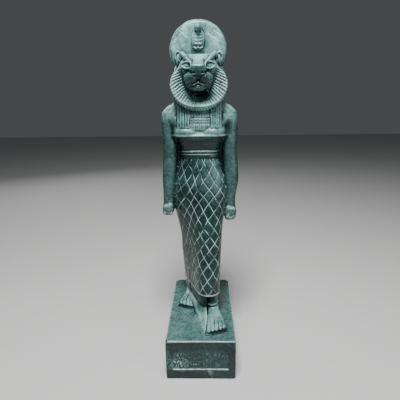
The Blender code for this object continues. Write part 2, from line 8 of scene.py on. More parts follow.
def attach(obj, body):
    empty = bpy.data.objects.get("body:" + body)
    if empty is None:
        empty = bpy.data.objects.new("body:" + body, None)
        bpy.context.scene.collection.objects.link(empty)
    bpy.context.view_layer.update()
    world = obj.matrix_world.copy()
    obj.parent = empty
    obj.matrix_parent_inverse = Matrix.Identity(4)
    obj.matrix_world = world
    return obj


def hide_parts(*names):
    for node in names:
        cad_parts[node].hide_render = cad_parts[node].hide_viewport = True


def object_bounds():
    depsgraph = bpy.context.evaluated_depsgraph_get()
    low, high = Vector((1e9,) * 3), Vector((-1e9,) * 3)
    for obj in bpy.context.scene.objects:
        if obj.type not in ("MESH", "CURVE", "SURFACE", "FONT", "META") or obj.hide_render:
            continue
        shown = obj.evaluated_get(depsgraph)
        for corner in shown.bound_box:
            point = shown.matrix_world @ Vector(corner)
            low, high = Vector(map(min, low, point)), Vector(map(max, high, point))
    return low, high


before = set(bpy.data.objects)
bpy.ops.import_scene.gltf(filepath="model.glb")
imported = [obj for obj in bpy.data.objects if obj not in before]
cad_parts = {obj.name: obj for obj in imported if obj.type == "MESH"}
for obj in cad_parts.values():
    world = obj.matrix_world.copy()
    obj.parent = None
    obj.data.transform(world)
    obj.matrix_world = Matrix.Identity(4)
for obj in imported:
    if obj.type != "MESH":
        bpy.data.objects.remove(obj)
solid_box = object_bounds()

# The block. Plinth, figure, sun disk and back pillar are one piece of dark green-grey stone, carved by hand
# and rubbed smooth. It is held as a grid of small cells, in millimetres from the middle of the plinth's top.
# Each cell knows how far it lies outside the carved surface, so that every form can melt into the next.
CELL = 0.37
PLINTH_HEIGHT = 37.5
SPARE = 1.5
UNCARVED = 9.0

low_corner = np.array(solid_box[0]) * 1000 - (0, 0, PLINTH_HEIGHT) - SPARE
high_corner = np.array(solid_box[1]) * 1000 - (0, 0, PLINTH_HEIGHT) + SPARE
cell_counts = np.ceil((high_corner - low_corner) / CELL).astype(int) + 1
block = np.full(cell_counts, UNCARVED, np.float32)


def cells_between(low, high):
    """The cells between two corners: where they are in the block, and their x, y and z."""
    where, axes = [], []
    for k in range(3):
        first = max(0, int((low[k] - low_corner[k]) / CELL))
        last = min(cell_counts[k], int((high[k] - low_corner[k]) / CELL) + 2)
        where.append(slice(first, last))
        shape = [1, 1, 1]
        shape[k] = -1
        axes.append((low_corner[k] + CELL * np.arange(first, last)).astype(np.float32).reshape(shape))
    return tuple(where), axes


# The plinth. The foot of the block, left square at the front and rounded behind, its faces dressed flat by
# eye and its upper edge worn. A shallow panel is sunk in its front, with rows of short strokes and a bruised
# corner.
PLINTH_WIDTH = 60.0
PLINTH_DEPTH = 108.0
FRONT_CORNER = 1.5
BACK_CORNER = 6.0
WORN_EDGE = 1.0
DRESSED_BACK = 0.05
UNEVEN = 0.10
PANEL_HALF = 24.0
PANEL_TOP = -8.5
PANEL_BOTTOM = -28.0
PANEL_SUNK = 0.9
STROKE_ROWS = (5.2, -0.2, -5.4)
STROKE_HALF = (0.6, 2.0)
STROKE_STEP = (1.5, 2.6)
STROKE_LEANS = [0.0, 0.0, 0.25, -0.3, 0.8, -0.9, 1.5]
STROKE_RADII = (0.42, 0.36)
# Each bruise is a gouge from one place to another, across and up the front.
BRUISES = (
    ((-24.0, -13.5), (-9.0, -24.5)), ((-22.5, -26.0), (-19.0, -17.0)), ((-29.5, -25.5), (-24.0, -19.5)),
    ((-18.5, -13.0), (-15.0, -25.5)), ((-21.0, -20.0), (-12.0, -17.5)), ((-7.5, -22.4), (-2.0, -22.6)),
)
BRUISE_RADII = (0.6, 0.45)
# Each chip out of the upper edge: how far across, behind the front and up, its radii and its soft rim.
CHIPS = (((-30.4, 0.6, -0.2), (2.2, 3.4, 2.6), 0.6), ((-29.9, 18.0, 0.4), (0.9, 4.0, 1.4), 0.5))


def melt(one, other, blend):
    """The nearer of two distances, rounded over where they are alike."""
    near = np.maximum(blend - np.abs(one - other), 0) / blend
    return np.minimum(one, other) - near * near * blend / 4


def meet(one, other, blend):
    """The farther of two distances, rounded over where they are alike."""
    return -melt(-one, -other, blend)


def leave(where, distance, blend):
    """Leave this form standing, joined to what already stands."""
    block[where] = melt(block[where], distance, blend)


def cut(where, distance, blend):
    """Cut this form away."""
    block[where] = meet(block[where], -distance, blend)


def rounded(one, other, radius):
    """The space inside both distances, with the corner where they meet rounded to the radius."""
    one, other = one + radius, other + radius
    beyond = np.hypot(np.maximum(one, 0), np.maximum(other, 0))
    return np.minimum(np.maximum(one, other), 0) + beyond - radius


def waver(x, y, z, pitch, seed):
    """An even, smooth unsteadiness between about -1 and 1, with bumps about one pitch apart."""
    chance = np.random.default_rng(seed)
    total = 0
    for _ in range(6):
        way = chance.normal(size=3)
        way *= 2 * math.pi / (pitch * chance.uniform(0.7, 1.6)) / np.linalg.norm(way)
        total = total + np.sin(way[0] * x + way[1] * y + way[2] * z + chance.uniform(0, 2 * math.pi))
    return total / 3


where, (x, y, z) = cells_between((-31, -55, -39), (31, 55, 2))
corner = np.where(y > 0, BACK_CORNER, FRONT_CORNER)
plan = rounded(np.abs(x) - PLINTH_WIDTH / 2, np.abs(y) - PLINTH_DEPTH / 2, corner)
plan = plan + DRESSED_BACK + UNEVEN * np.maximum(1 + waver(x, y, z, 26, 3), 0)
above = z + UNEVEN * np.maximum(1 + waver(x, y, z, 17, 4), 0)
plinth = rounded(plan, above, WORN_EDGE)
leave(where, np.maximum(plinth, -PLINTH_HEIGHT - z), 0.1)

face = -PLINTH_DEPTH / 2
where, (x, y, z) = cells_between((-27, face - 3, -31), (27, face + 3, -6))
middle = (PANEL_TOP + PANEL_BOTTOM) / 2
panel = np.maximum(np.abs(x) - PANEL_HALF, np.abs(z - middle) - (PANEL_TOP - PANEL_BOTTOM) / 2)
panel = panel + 0.25 * waver(x, y, z, 9, 5)
cut(where, np.maximum(panel, y - face - PANEL_SUNK), 0.4)


def rope(points, radii, blend, action=leave):
    """A rounded ridge, finger or groove along a run of points, with a radius at each."""
    points = np.array(points, float)
    reach = max(radii) + blend + 1
    where, (x, y, z) = cells_between(points.min(0) - reach, points.max(0) + reach)
    distance = None
    for a, b, thick, thin in zip(points, points[1:], radii, radii[1:]):
        run = b - a
        across, along, up = x - a[0], y - a[1], z - a[2]
        share = np.clip((across * run[0] + along * run[1] + up * run[2]) / (run @ run), 0, 1)
        gap = np.sqrt((across - share * run[0]) ** 2 + (along - share * run[1]) ** 2
                      + (up - share * run[2]) ** 2) - (thick + (thin - thick) * share)
        distance = gap if distance is None else np.minimum(distance, gap)
    action(where, distance, blend)


chance = np.random.default_rng(11)
panel_strokes = []
for row_middle in STROKE_ROWS:
    across = -PANEL_HALF + 1.4
    while across < PANEL_HALF - 1.2:
        centre = middle + row_middle + chance.uniform(-0.7, 0.7)
        half = chance.uniform(*STROKE_HALF)
        lean = chance.choice(STROKE_LEANS)
        shift = np.array([math.sin(lean), 0, math.cos(lean)]) * half
        start = np.array([across, face + PANEL_SUNK, centre])
        panel_strokes.append((start - shift, start + shift))
        across += chance.uniform(*STROKE_STEP)
for ends in panel_strokes:
    rope(ends, STROKE_RADII, 0.2, cut)
for (x0, z0), (x1, z1) in BRUISES:
    rope(((x0, face + PANEL_SUNK * (x0 > -24), z0), (x1, face + PANEL_SUNK, z1)), BRUISE_RADII, 0.4, cut)


def egg(centre, radii, blend, action=leave, tilt=None):
    """An egg-shaped mass or hollow. Tilt turns it about the x, y and z axes, in degrees."""
    reach = max(radii) + blend + 1 if tilt else np.array(radii) + blend + 1
    where, (x, y, z) = cells_between(np.array(centre) - reach, np.array(centre) + reach)
    x, y, z = x - centre[0], y - centre[1], z - centre[2]
    if tilt:
        turn = np.eye(3)
        for k, angle in enumerate(tilt):
            turn = np.array(Matrix.Rotation(math.radians(angle), 3, "XYZ"[k])) @ turn
        x, y, z = (turn[0, k] * x + turn[1, k] * y + turn[2, k] * z for k in range(3))
    a, b, c = x / radii[0], y / radii[1], z / radii[2]
    length = np.sqrt(a * a + b * b + c * c) + 1e-6
    slope = np.sqrt((a / radii[0]) ** 2 + (b / radii[1]) ** 2 + (c / radii[2]) ** 2) + 1e-6
    action(where, length * (length - 1) / slope, blend)


for (across, behind, up), radii, soft in CHIPS:
    egg((across, face + behind, up), radii, soft, cut)

# The back pillar. A plain square post of the same stone that is left standing behind the figure, from the
# plinth to the back of the head, and braces it. Its corners are eased and its faces are rubbed flat.
PILLAR_HALF = 12.0
PILLAR_FRONT = 8.0
PILLAR_BACK = 37.0
PILLAR_TOP = 226.0
PILLAR_EDGE = 1.2
PILLAR_UNEVEN = 0.12

where, (x, y, z) = cells_between((-15, 5, -3), (15, 40, 230))
side = np.abs(x) - PILLAR_HALF + PILLAR_UNEVEN * (1 + waver(x, y, z, 40, 6))
rear = y - PILLAR_BACK + PILLAR_UNEVEN * (1 + waver(x, y, z, 33, 7))
post = meet(rounded(side, rear, PILLAR_EDGE), z - PILLAR_TOP, 2.0)
leave(where, np.maximum(post, PILLAR_FRONT - y), 1.2)

# The body. Legs, hips, waist, chest and shoulders are one mass under a long close dress. Its outline at each
# height is the wrapping of two upright columns, the striding left leg in front of the right one.
HEM = 22.5
BELT = 147.0
# Height, then middle x, middle y and radius of the right-hand column, then of the left-hand one.
BODY = (
    (22.5, -6.5, 22.5, 10.0, 7.0, -11.5, 10.2),
    (46.0, -7.5, 21.0, 10.9, 7.5, -7.5, 10.8),
    (79.0, -8.4, 18.5, 12.4, 8.0, -1.0, 12.1),
    (92.0, -9.4, 17.0, 14.3, 8.6, 2.0, 12.8),
    (112.0, -10.5, 15.5, 15.0, 9.6, 7.0, 14.5),
    (138.0, -8.5, 14.0, 11.4, 8.0, 11.0, 11.0),
    (150.0, -7.0, 13.0, 9.9, 6.8, 12.5, 9.5),
    (158.0, -8.4, 12.0, 11.0, 8.4, 12.0, 11.0),
    (165.5, -9.5, 10.0, 12.6, 9.5, 10.0, 12.6),
    (173.0, -12.5, 11.0, 12.2, 12.5, 11.0, 12.2),
    (181.0, -20.5, 13.0, 10.0, 20.5, 13.0, 10.0),
    (186.5, -21.0, 14.0, 9.0, 21.0, 14.0, 9.0),
    (190.5, -19.0, 14.0, 8.2, 19.0, 14.0, 8.2),
    (193.6, -15.0, 14.0, 7.0, 15.0, 14.0, 7.0),
)
# The height of each moulding on the dress and how far it stands out.
MOULDINGS = (
    (22.5, 0.45), (23.3, 0.45), (24.0, 0.0), (145.8, 0.0), (146.8, 1.1), (149.0, 1.0), (149.8, -0.3),
    (150.5, -0.5), (151.0, 1.0), (151.9, 1.1), (152.8, 0.2), (155.0, 0.1), (160.4, 0.0), (160.9, 0.5),
    (161.4, 0.1), (163.8, 0.2), (165.0, 2.3), (166.0, 2.5), (167.2, 1.5), (170.0, 0.9), (174.0, 0.0),
)
NECK = 193.6
BREAST = (12.0, 3.0, 168.8)
BREAST_RADII = (8.8, 8.2, 4.6)


def eased(stations, column, level):
    """A smooth curve through one column of a table whose first column is the level."""
    table = np.array(stations, float)
    table = table[np.argsort(table[:, 0])]
    levels, values = table[:, 0], table[:, column]
    slopes = np.gradient(values, levels)
    level = np.clip(level, levels[0], levels[-1])
    k = np.clip(np.searchsorted(levels, level) - 1, 0, len(levels) - 2)
    span = levels[k + 1] - levels[k]
    t = (level - levels[k]) / span
    start = (1 + 2 * t) * (1 - t) ** 2 * values[k] + t * (1 - t) ** 2 * span * slopes[k]
    end = t * t * (3 - 2 * t) * values[k + 1] + t * t * (t - 1) * span * slopes[k + 1]
    return (start + end).astype(np.float32)


def curves(stations, level):
    """The smooth curve through each column of a table but the first."""
    return [eased(stations, k, level) for k in range(1, len(stations[0]))]


def wrapping(x, y, level):
    """How far outside the body's outline a point lies, at its own height."""
    ax, ay, ar, bx, by, br = curves(BODY, level)
    run_x, run_y = bx - ax, by - ay
    length = np.hypot(run_x, run_y)
    run_x, run_y = run_x / length, run_y / length
    along = (x - ax) * run_x + (y - ay) * run_y
    aside = np.abs((y - ay) * run_x - (x - ax) * run_y)
    lean = (ar - br) / length
    upright = np.sqrt(1 - lean * lean)
    place = along * upright - aside * lean
    middle = aside * upright + along * lean - ar
    first = np.hypot(aside, along) - ar
    last = np.hypot(aside, along - length) - br
    return np.where(place < 0, first, np.where(place > upright * length, last, middle))


where, (x, y, z) = cells_between((-37, -26, 20), (37, 36, 199))
swell = np.interp(z, *zip(*MOULDINGS), right=0)
form = wrapping(x, y, z) - swell - 0.12 * waver(x, y, z, 21, 8)
form = meet(meet(form, z - NECK, 5.0), HEM - z, 0.5)
leave(where, form, 1.5)
for side in (-1, 1):
    egg((BREAST[0] * side, *BREAST[1:]), BREAST_RADII, 4.0)

# The arms. They hang straight at the sides, with closed hands, and the stone between arm and waist is left
# standing but set far back. The grooves between the curled fingers are cut with a narrow chisel.
# Height, middle x, middle y, half width and half depth, from the shoulder down.
ARMS = {
    -1: (
        (192.6, -23.6, 14.0, 1.5, 2.5), (189.8, -24.6, 14.0, 4.6, 5.6), (186.0, -26.2, 14.0, 6.6, 7.2),
        (180.5, -27.3, 14.0, 7.0, 8.0), (172.0, -27.1, 13.5, 6.9, 8.0), (160.0, -26.9, 12.5, 6.7, 7.6),
        (148.0, -27.2, 12.0, 6.4, 7.2), (136.0, -28.0, 11.2, 6.3, 7.1), (124.0, -28.6, 10.2, 6.2, 6.8),
        (111.0, -29.2, 9.2, 5.3, 5.8), (97.0, -29.8, 8.4, 5.0, 5.4),
    ),
    1: (
        (192.4, 23.4, 14.0, 1.5, 2.5), (189.6, 24.4, 14.0, 4.6, 5.6), (185.6, 26.0, 14.0, 6.6, 7.2),
        (180.0, 27.1, 14.0, 7.0, 8.0), (172.0, 27.1, 13.5, 6.9, 8.0), (160.0, 27.0, 12.5, 6.7, 7.6),
        (148.0, 27.3, 12.0, 6.5, 7.2), (136.0, 28.2, 11.2, 6.6, 7.1), (124.0, 28.6, 10.2, 6.5, 6.8),
        (110.0, 27.4, 9.2, 5.4, 5.8), (94.0, 27.6, 8.4, 5.1, 5.4),
    ),
}
# Middle x, y and z, and half the width, depth and height of each closed hand.
HANDS = {-1: (-29.9, 8.4, 98.2, 5.3, 7.8, 5.2), 1: (27.7, 8.4, 94.2, 5.7, 8.0, 6.2)}
HAND_SLANT = -0.12
FINGERS = 4
NICKS = ((-3.4, 2.4), (-1.2, -1.2), (1.6, -3.6), (2.6, 1.2))
NICK_RADII = (0.35, 0.25)
# Middle y, half depth, foot, top and reach of the stone left between arm and waist.
WEB = (14.7, 2.2, 112.0, 180.0, 27.0)


def squarish(across, along, power):
    """How many times its own size from the middle of a rounded square, squarer the higher the power."""
    return (np.abs(across) ** power + np.abs(along) ** power) ** (1 / power)


for side, stations in ARMS.items():
    where, (x, y, z) = cells_between((side * 28 - 12, -2, 92), (side * 28 + 12, 26, 196))
    middle_x, middle_y, wide, deep = curves(stations, z)
    arm = (np.hypot((x - middle_x) / wide, (y - middle_y) / deep) - 1) * np.minimum(wide, deep)
    top, bottom = stations[0][0], stations[-1][0]
    leave(where, meet(meet(arm, z - top, 2.0), bottom - z, 2.0), 2.2)
    where, (x, y, z) = cells_between((min(0, side * 30), 11, 104), (max(0, side * 30), 19, 184))
    web_y, web_half, web_foot, web_top, reach = WEB
    web = np.maximum(np.abs(y - web_y) - web_half, np.maximum(web_foot - z, z - web_top))
    leave(where, np.maximum(web, np.abs(x) - reach), 2.0)

    x0, y0, z0, half_x, half_y, half_z = HANDS[side]
    where, (x, y, z) = cells_between((x0 - 10, y0 - 13, z0 - 11), (x0 + 10, y0 + 13, z0 + 12))
    along = (y - y0) / half_y
    pinch = 1 - 0.07 * np.abs(np.cos(along * FINGERS * math.pi / 2)) ** 6
    size = pinch * (1 - 0.22 * np.clip(np.abs(along), 0, 1.1) ** 5)
    slant = z - z0 + HAND_SLANT * (x - x0)
    fist = (squarish((x - x0) / half_x, slant / half_z, 2.8) - size) * half_x
    leave(where, meet(fist, np.abs(y - y0) - half_y, 2.5), 1.6)
    palm = y0 - half_y
    thumb = [(x0 - 2.0 * side, palm + 3.4, z0 + half_z - 0.6), (x0 - 1.8 * side, palm + 1.8, z0 + 1.4),
             (x0 - 0.2 * side, palm + 1.2, z0 - 0.8)]
    rope(thumb, (1.6, 1.7, 1.3), 1.4)
    egg((x0 + 0.4 * side, palm + 0.2, z0 - 1.9), (1.7, 1.6, 0.8), 0.3, cut)
    rope([(x0 + 3.2 * side, palm + 2.4, z0 + 1.5), (x0 + 2.6 * side, palm + 1.3, z0 - 2.4),
          (x0 - 2.6 * side, palm + 1.3, z0 - 3.5)], (1.3, 1.5, 1.4), 0.5)
    for shift, level in NICKS:
        nick = (x0 + shift * side, palm + 0.9, z0 + level)
        rope([nick, (nick[0] + 1.3, nick[1] - 0.2, nick[2] - 0.9)], NICK_RADII, 0.2, cut)

# The legs and feet. Only the ankles show below the hem, each with a thin ring, and the long feet stand flat.
# The stone between the legs is left flush with the dress, and a sloping ridge runs on between the feet.
# Middle x, middle y, half width and half depth of each ankle.
ANKLES = {-1: (-7.0, 22.5, 7.2, 7.6), 1: (10.2, -11.4, 5.6, 7.6)}
RING_HEIGHT = 12.4
RING_RISE = 0.6
TOE_TIPS = {-1: (-13.4, -5.4), 1: (13.9, -44.6)}
# Share of the way from heel to toes, half width and height.
FEET = (
    (0.0, 4.2, 7.0), (0.08, 5.0, 11.0), (0.25, 5.6, 13.0), (0.45, 6.4, 10.6), (0.7, 8.0, 7.4),
    (1.0, 9.0, 4.7), (1.3, 9.1, 2.7),
)
FOOT_HALF = 9.0
HEEL_BACK = 9.0
TOE_LENGTH = 7.5
TOE_FALL = 6.0
TOE_GAP_RADII = (0.65, 0.6, 0.55, 0.5, 0.42, 0.36, 0.25)
NAIL_HALF = 0.9
NAIL_BACK = 2.6
NAIL_LENGTH = 1.7
NAIL_HEIGHT = 3.9
NAIL_RADII = (0.35, 0.35)
TOES = 5
TOE_GAPS = {-1: 19.0, 1: 12.0}
# Depth, foot of the slope, crest and height of the ridge.
RIDGE = (
    (-44.5, 1.0, 3.0, 0.3), (-38.0, -1.5, 4.0, 2.4), (-28.0, -3.0, 4.8, 5.0), (-18.0, -4.5, 4.0, 8.0),
    (-8.0, -7.2, -4.2, 9.6), (2.0, -10.6, -8.6, 9.0), (10.0, -13.8, -11.8, 8.6), (20.0, -17.0, -15.6, 7.4),
)

where, (x, y, z) = cells_between((-22, -26, -1), (22, 36, 26))
wall = wrapping(x, y, z * 0 + HEM) + 0.8 + 0.3 * waver(x, y, z, 8, 10)
wall = np.maximum(wall, np.minimum(x - 5.0, -4.0 - y))
leave(where, np.maximum(wall, np.maximum(-0.5 - z, z - 24)), 0.5)
for side, (x0, y0, wide, deep) in ANKLES.items():
    where, (x, y, z) = cells_between((x0 - 13, y0 - 13, -1), (x0 + 13, y0 + 13, 26))
    shank = (np.hypot((x - x0) / wide, (y - y0) / deep) - 1) * wide
    ring = RING_RISE * np.exp(-((z - RING_HEIGHT) / 0.8) ** 2)
    ring = ring - 0.3 * np.exp(-((z - RING_HEIGHT - 3.1) / 3) ** 2)
    leave(where, np.maximum(shank - ring, np.maximum(-0.5 - z, z - 24)), 0.8)

    tip_x, tip_y = TOE_TIPS[side]
    heel, root = y0 + HEEL_BACK, tip_y + TOE_LENGTH
    near, far = min(x0, tip_x) - 13, max(x0, tip_x) + 13
    where, (x, y, z) = cells_between((near, tip_y - 3, -1), (far, heel + 3, 18))
    share = np.clip((heel - y) / (heel - root), 0, 1.3)
    wide, tall = curves(FEET, share)
    centre = x0 + (tip_x - x0) * np.minimum(share, 1)
    foot = (np.abs((x - centre) / wide) ** 2.6 + np.abs(z / tall) ** 2.2) ** (1 / 2.4)
    foot = (foot - 1) * np.minimum(wide, tall)
    outward = np.clip(((x - tip_x) * side + FOOT_HALF) / (2 * FOOT_HALF), 0, 1)
    tips = tip_y + TOE_FALL * outward ** 2
    toe = (x - tip_x + FOOT_HALF) / (2 * FOOT_HALF) * TOES
    beside = np.abs(toe - np.round(toe)) * 2 * FOOT_HALF / TOES
    round_end = 1.2 * (1 - np.clip(beside / 1.75, 0, 1)) ** 2
    leave(where, meet(foot, np.maximum(y - heel, tips + round_end - y), 2.2), 1.6)

    for k in range(TOES - 1):
        gap_x = tip_x + FOOT_HALF * (2 * (k + 1) / TOES - 1)
        line = []
        for back in np.linspace(tip_y - 0.5, tip_y + TOE_GAPS[side], 7):
            run = np.array([min((heel - back) / (heel - root), 1.3)])
            wide, tall = (float(curve[0]) for curve in curves(FEET, run))
            middle = x0 + (tip_x - x0) * min(float(run[0]), 1)
            place = middle + (gap_x - tip_x) * wide / FOOT_HALF
            line.append((place, back, tall * (1 - abs((place - middle) / wide) ** 2.6) ** (1 / 2.2)))
        rope(line, TOE_GAP_RADII, 0.4, cut)
    for k in range(TOES):
        toe_x = tip_x + FOOT_HALF * ((2 * k + 1) / TOES - 1)
        out = ((toe_x - tip_x) * side + FOOT_HALF) / (2 * FOOT_HALF)
        nail_y = tip_y + TOE_FALL * out ** 2 + NAIL_BACK
        for step in (0.0, NAIL_LENGTH):
            nail_z = NAIL_HEIGHT + 0.25 * step
            nail = [(toe_x + end, nail_y + step, nail_z) for end in (-NAIL_HALF, NAIL_HALF)]
            rope(nail, NAIL_RADII, 0.25, cut)

where, (x, y, z) = cells_between((-22, -47, -1), (9, 24, 13))
foot_of_slope, crest, height = curves(RIDGE, y)
climb = np.clip((x - foot_of_slope) / (crest - foot_of_slope), -0.3, 1.0)
slope = z - height * climb * (0.8 + 0.2 * climb) + 0.35 * waver(x, y, z, 6, 9)
ridge = meet(slope * 0.75, x - crest - 0.5, 0.6)
leave(where, meet(ridge, np.maximum(-44.5 - y, y - 21), 0.6), 0.6)
for side, (tip_x, tip_y) in TOE_TIPS.items():
    where, (x, y, z) = cells_between((tip_x - 11, tip_y - 4, -2), (tip_x + 11, tip_y + 10, 2))
    outward = ((x - tip_x) * side + FOOT_HALF) / (2 * FOOT_HALF)
    before = tip_y - 1.5 + TOE_FALL * np.clip(outward, 0, 1.1) ** 2 - y
    trench = np.maximum(np.maximum(before, -before - 2.0), np.abs(x - tip_x) - FOOT_HALF - 0.4)
    cut(where, np.maximum(trench, -0.45 - z), 0.4)

# The wig. A smooth mass behind the mane that falls to the shoulders, and two tails of upright rolls that lie
# on the chest and end square above the breasts.
WIG_Y = 14.0
WIG_FOOT = 184.0
WIG_TOP = 232.0
# Height, half width and half depth.
WIG = ((183.0, 22.6, 11.5), (204.0, 22.9, 11.5), (218.0, 21.9, 11.0), (226.0, 19.0, 10.4), (232.0, 14.0, 9.4))
# How far from the middle each tail starts and ends.
TAILS = {-1: (8.2, 19.6), 1: (9.4, 19.4)}
TAIL_FRONT = ((171.8, -4.6), (178.0, -3.0), (184.0, -1.3), (192.0, 0.0), (200.0, 0.0))
TAIL_ROLLS = 5
ROLL_DEPTH = 0.55
TAIL_END = 172.2
TAIL_TOP = 200.0

where, (x, y, z) = cells_between((-26, 0, 181), (26, 30, 236))
wide, deep = curves(WIG, z)
back = (squarish(x / wide, (y - WIG_Y) / deep, 3) - 1) * np.minimum(wide, deep)
leave(where, meet(meet(back, z - WIG_TOP, 5.0), WIG_FOOT - z, 2.0), 1.5)
for side, (inner, outer) in TAILS.items():
    where, (x, y, z) = cells_between((min(0, side * 24), -8, 169), (max(0, side * 24), 14, 202))
    share = (side * x - inner) / (outer - inner)
    rolls = ROLL_DEPTH * np.abs(np.sin(np.clip(share, 0, 1) * math.pi * TAIL_ROLLS)) ** 0.7
    front = eased(TAIL_FRONT, 1, z) + 3.8 * np.clip(share, 0, 1.2) ** 2 - rolls
    sides = np.maximum(inner - side * x, side * x - outer)
    tail = meet(meet(front - y, sides, 1.2), np.maximum(TAIL_END - z, z - TAIL_TOP), 0.7)
    leave(where, np.maximum(tail, y - 12), 0.5)

# The broad collar. It fills the space between the wig's tails, in low relief: short beads above, a wavy row,
# then a band of upright beads over a rounded lower edge.
COLLAR_FRONT = ((167.0, -3.2), (171.0, -3.6), (176.0, -2.9), (184.0, -1.6), (194.0, 0.4))
COLLAR_HALF = 9.6
COLLAR_X = 0.4
# Foot, top and pitch of each row of the collar.
TOP_BEADS = (181.0, 184.4, 2.2)
WAVES = (175.6, 180.4, 1.7)
LOW_BEADS = (170.6, 175.2, 1.8)
BEAD_RISE = 0.5
WAVE_RISE = 0.35

where, (x, y, z) = cells_between((-12, -8, 166), (13, 10, 196))
droop = 169.6 + 2.0 * np.clip(np.abs(x) / COLLAR_HALF, 0, 1.3) ** 3
bottom, top, pitch = TOP_BEADS
relief = np.where((z > bottom) & (z < top), BEAD_RISE * np.abs(np.sin((x + COLLAR_X) * math.pi / pitch)), 0)
bottom, top, pitch = WAVES
waves = np.abs(np.sin(z * math.pi / pitch + 0.5 * np.sin(x * 1.9)))
relief = relief + np.where((z > bottom) & (z <= top), WAVE_RISE * waves, 0)
bottom, top, pitch = LOW_BEADS
relief = relief + np.where((z > bottom) & (z <= top), BEAD_RISE * np.abs(np.sin(x * math.pi / pitch)), 0)
front = eased(COLLAR_FRONT, 1, z) + 0.01 * x * x - relief
collar = meet(front - y, droop - z, 0.8)
leave(where, np.maximum(collar, np.maximum(np.abs(x - COLLAR_X) - COLLAR_HALF - 0.6, y - 8)), 0.6)

# The mane. A thick ribbed ruff from ear to ear under the chin, flaring forward at the bottom. Its ribs are
# straight lines that spread from the middle of the face, and its underside is hollowed back to the chest.
RUFF_MIDDLE = 207.0
RUFF_INNER = 10.8
RUFF_SPREAD = math.radians(136)
RIBS = 41
RIM_CIRCLE = 24.0
RIB_DEPTH = 0.62
RIM_NOTCH = 0.16


def rise(values, low, high):
    """0 up to the low value, 1 from the high one on, and even in between."""
    return np.clip((values - low) / (high - low), 0, 1)


def rib_number(x, z):
    """Which rib a point lies on. The ribs aim at a source that is higher the farther up they start."""
    turn = np.arctan2(x, RUFF_MIDDLE - z)
    for _ in range(4):
        around = np.abs(turn) / math.radians(1)
        source = 202.5 + 0.205 * around
        rim_x = RIM_CIRCLE * np.sin(turn)
        rim_z = RUFF_MIDDLE - RIM_CIRCLE * np.cos(turn)
        aim = np.arctan2(rim_x, source - rim_z)
        turn = turn + 0.9 * (np.arctan2(x, source - z) - aim)
    return turn / (2 * RUFF_SPREAD) * RIBS


def rib_swell(x, z):
    """0 in the grooves between the ribs and 1 along their crests."""
    return 0.5 - 0.5 * np.cos(2 * math.pi * (rib_number(x, z) + 0.15 * waver(x, 0, z, 9, 12)))


where, (x, y, z) = cells_between((-30, -12, 178), (30, 16, 236))
turn = np.arctan2(x, RUFF_MIDDLE - z)
reach = np.hypot(x, z - RUFF_MIDDLE)
down = 0.5 + 0.5 * np.cos(turn)
under = down ** 4
taper = 1 - 0.20 * rise(np.abs(turn), 0, RUFF_SPREAD) ** 5
outer = (25.4 - 8.1 * down ** 3) * taper
groove = (1 - rib_swell(x, z)) ** 3
share = rise(reach, RUFF_INNER, outer)
bulge = (2.4 - 1.4 * down) * (1 - share) + (-1.5 - 5.8 * down) * share - 2.0 * share * (1 - share)
front = bulge + RIB_DEPTH * groove
rim_front, rim_middle, rim_back = -1.5 - 5.8 * down, 2.0 - 6.0 * down, 9.0 - 4.0 * under
fore = rise(y, rim_front, rim_middle)
aft = rise(y, rim_middle, rim_back)
rim = outer - 0.5 + (0.9 + 2.6 * under) * fore + (-1.4 + 3.9 * under) * aft
rim = rim - RIM_NOTCH * groove * (1 - aft)
ruff = meet((front - y) * 0.85, reach - rim, 1.2)
ruff = meet(ruff, np.maximum(RUFF_INNER - 0.4 - reach, y - rim_back - 1), 0.8)
ruff = meet(ruff, (np.abs(turn) - RUFF_SPREAD) * reach, 1.5)
leave(where, ruff, 0.5)

# The sun disk. A thick round plate behind the ears, part of the same block, with eased edges and a face that
# is barely domed. Old scratches run over it.
DISK_X = -0.6
DISK_RADIUS = 24.6
DISK_HEIGHT = 261.0
DISK_FRONT = 10.6
DISK_BACK = 23.4
DISK_EDGE = 3.6
DISK_DOME = 1.1
# Each scratch runs from one place to another, across and up the face.
SCRATCHES = (
    ((-15.5, 251.5), (-9.5, 246.0)), ((-21.0, 243.0), (-14.5, 250.0)), ((8.0, 249.0), (17.0, 243.5)),
    ((12.0, 252.0), (20.0, 246.5)),
)
SCRATCH_RADII = (0.14, 0.08)

where, (x, y, z) = cells_between((-27, 6, 208), (27, 27, 263))
disk_z = DISK_HEIGHT - DISK_RADIUS
from_middle = np.hypot(x - DISK_X, z - disk_z)
round_about = np.arctan2(z - disk_z, x - DISK_X)
worked = 0.22 * (1 + np.cos(round_about * 11 + 1.5)) * (np.cos(round_about - 2.3) > 0.2) * 0.5
dome = DISK_FRONT + DISK_DOME * (from_middle / DISK_RADIUS) ** 2 + 0.15 * waver(x, y, z, 14, 13)
past_face = np.maximum(dome - y, y - DISK_BACK)
leave(where, rounded(from_middle - DISK_RADIUS + worked, past_face, DISK_EDGE), 1.5)
for ends in SCRATCHES:
    line = []
    for x0, z0 in ends:
        out = math.hypot(x0 - DISK_X, z0 - disk_z) / DISK_RADIUS
        line.append((x0, DISK_FRONT + DISK_DOME * out ** 2, z0))
    rope(line, SCRATCH_RADII, 0.5, cut)

# The cobra. It rears in relief up the middle of the disk: a raised drop-shaped head, a hood with short cross
# bars in two columns, and a squared hollow under the hood, above the brow.
# Height, half width and depth of the hood's front.
HOOD = (
    (231.5, 4.1, 9.6), (235.0, 4.5, 8.6), (238.5, 5.2, 7.7), (242.5, 6.0, 7.2), (246.5, 6.0, 7.1),
    (249.5, 5.0, 7.3), (252.5, 3.0, 7.9),
)
HOOD_BACK = 13.0
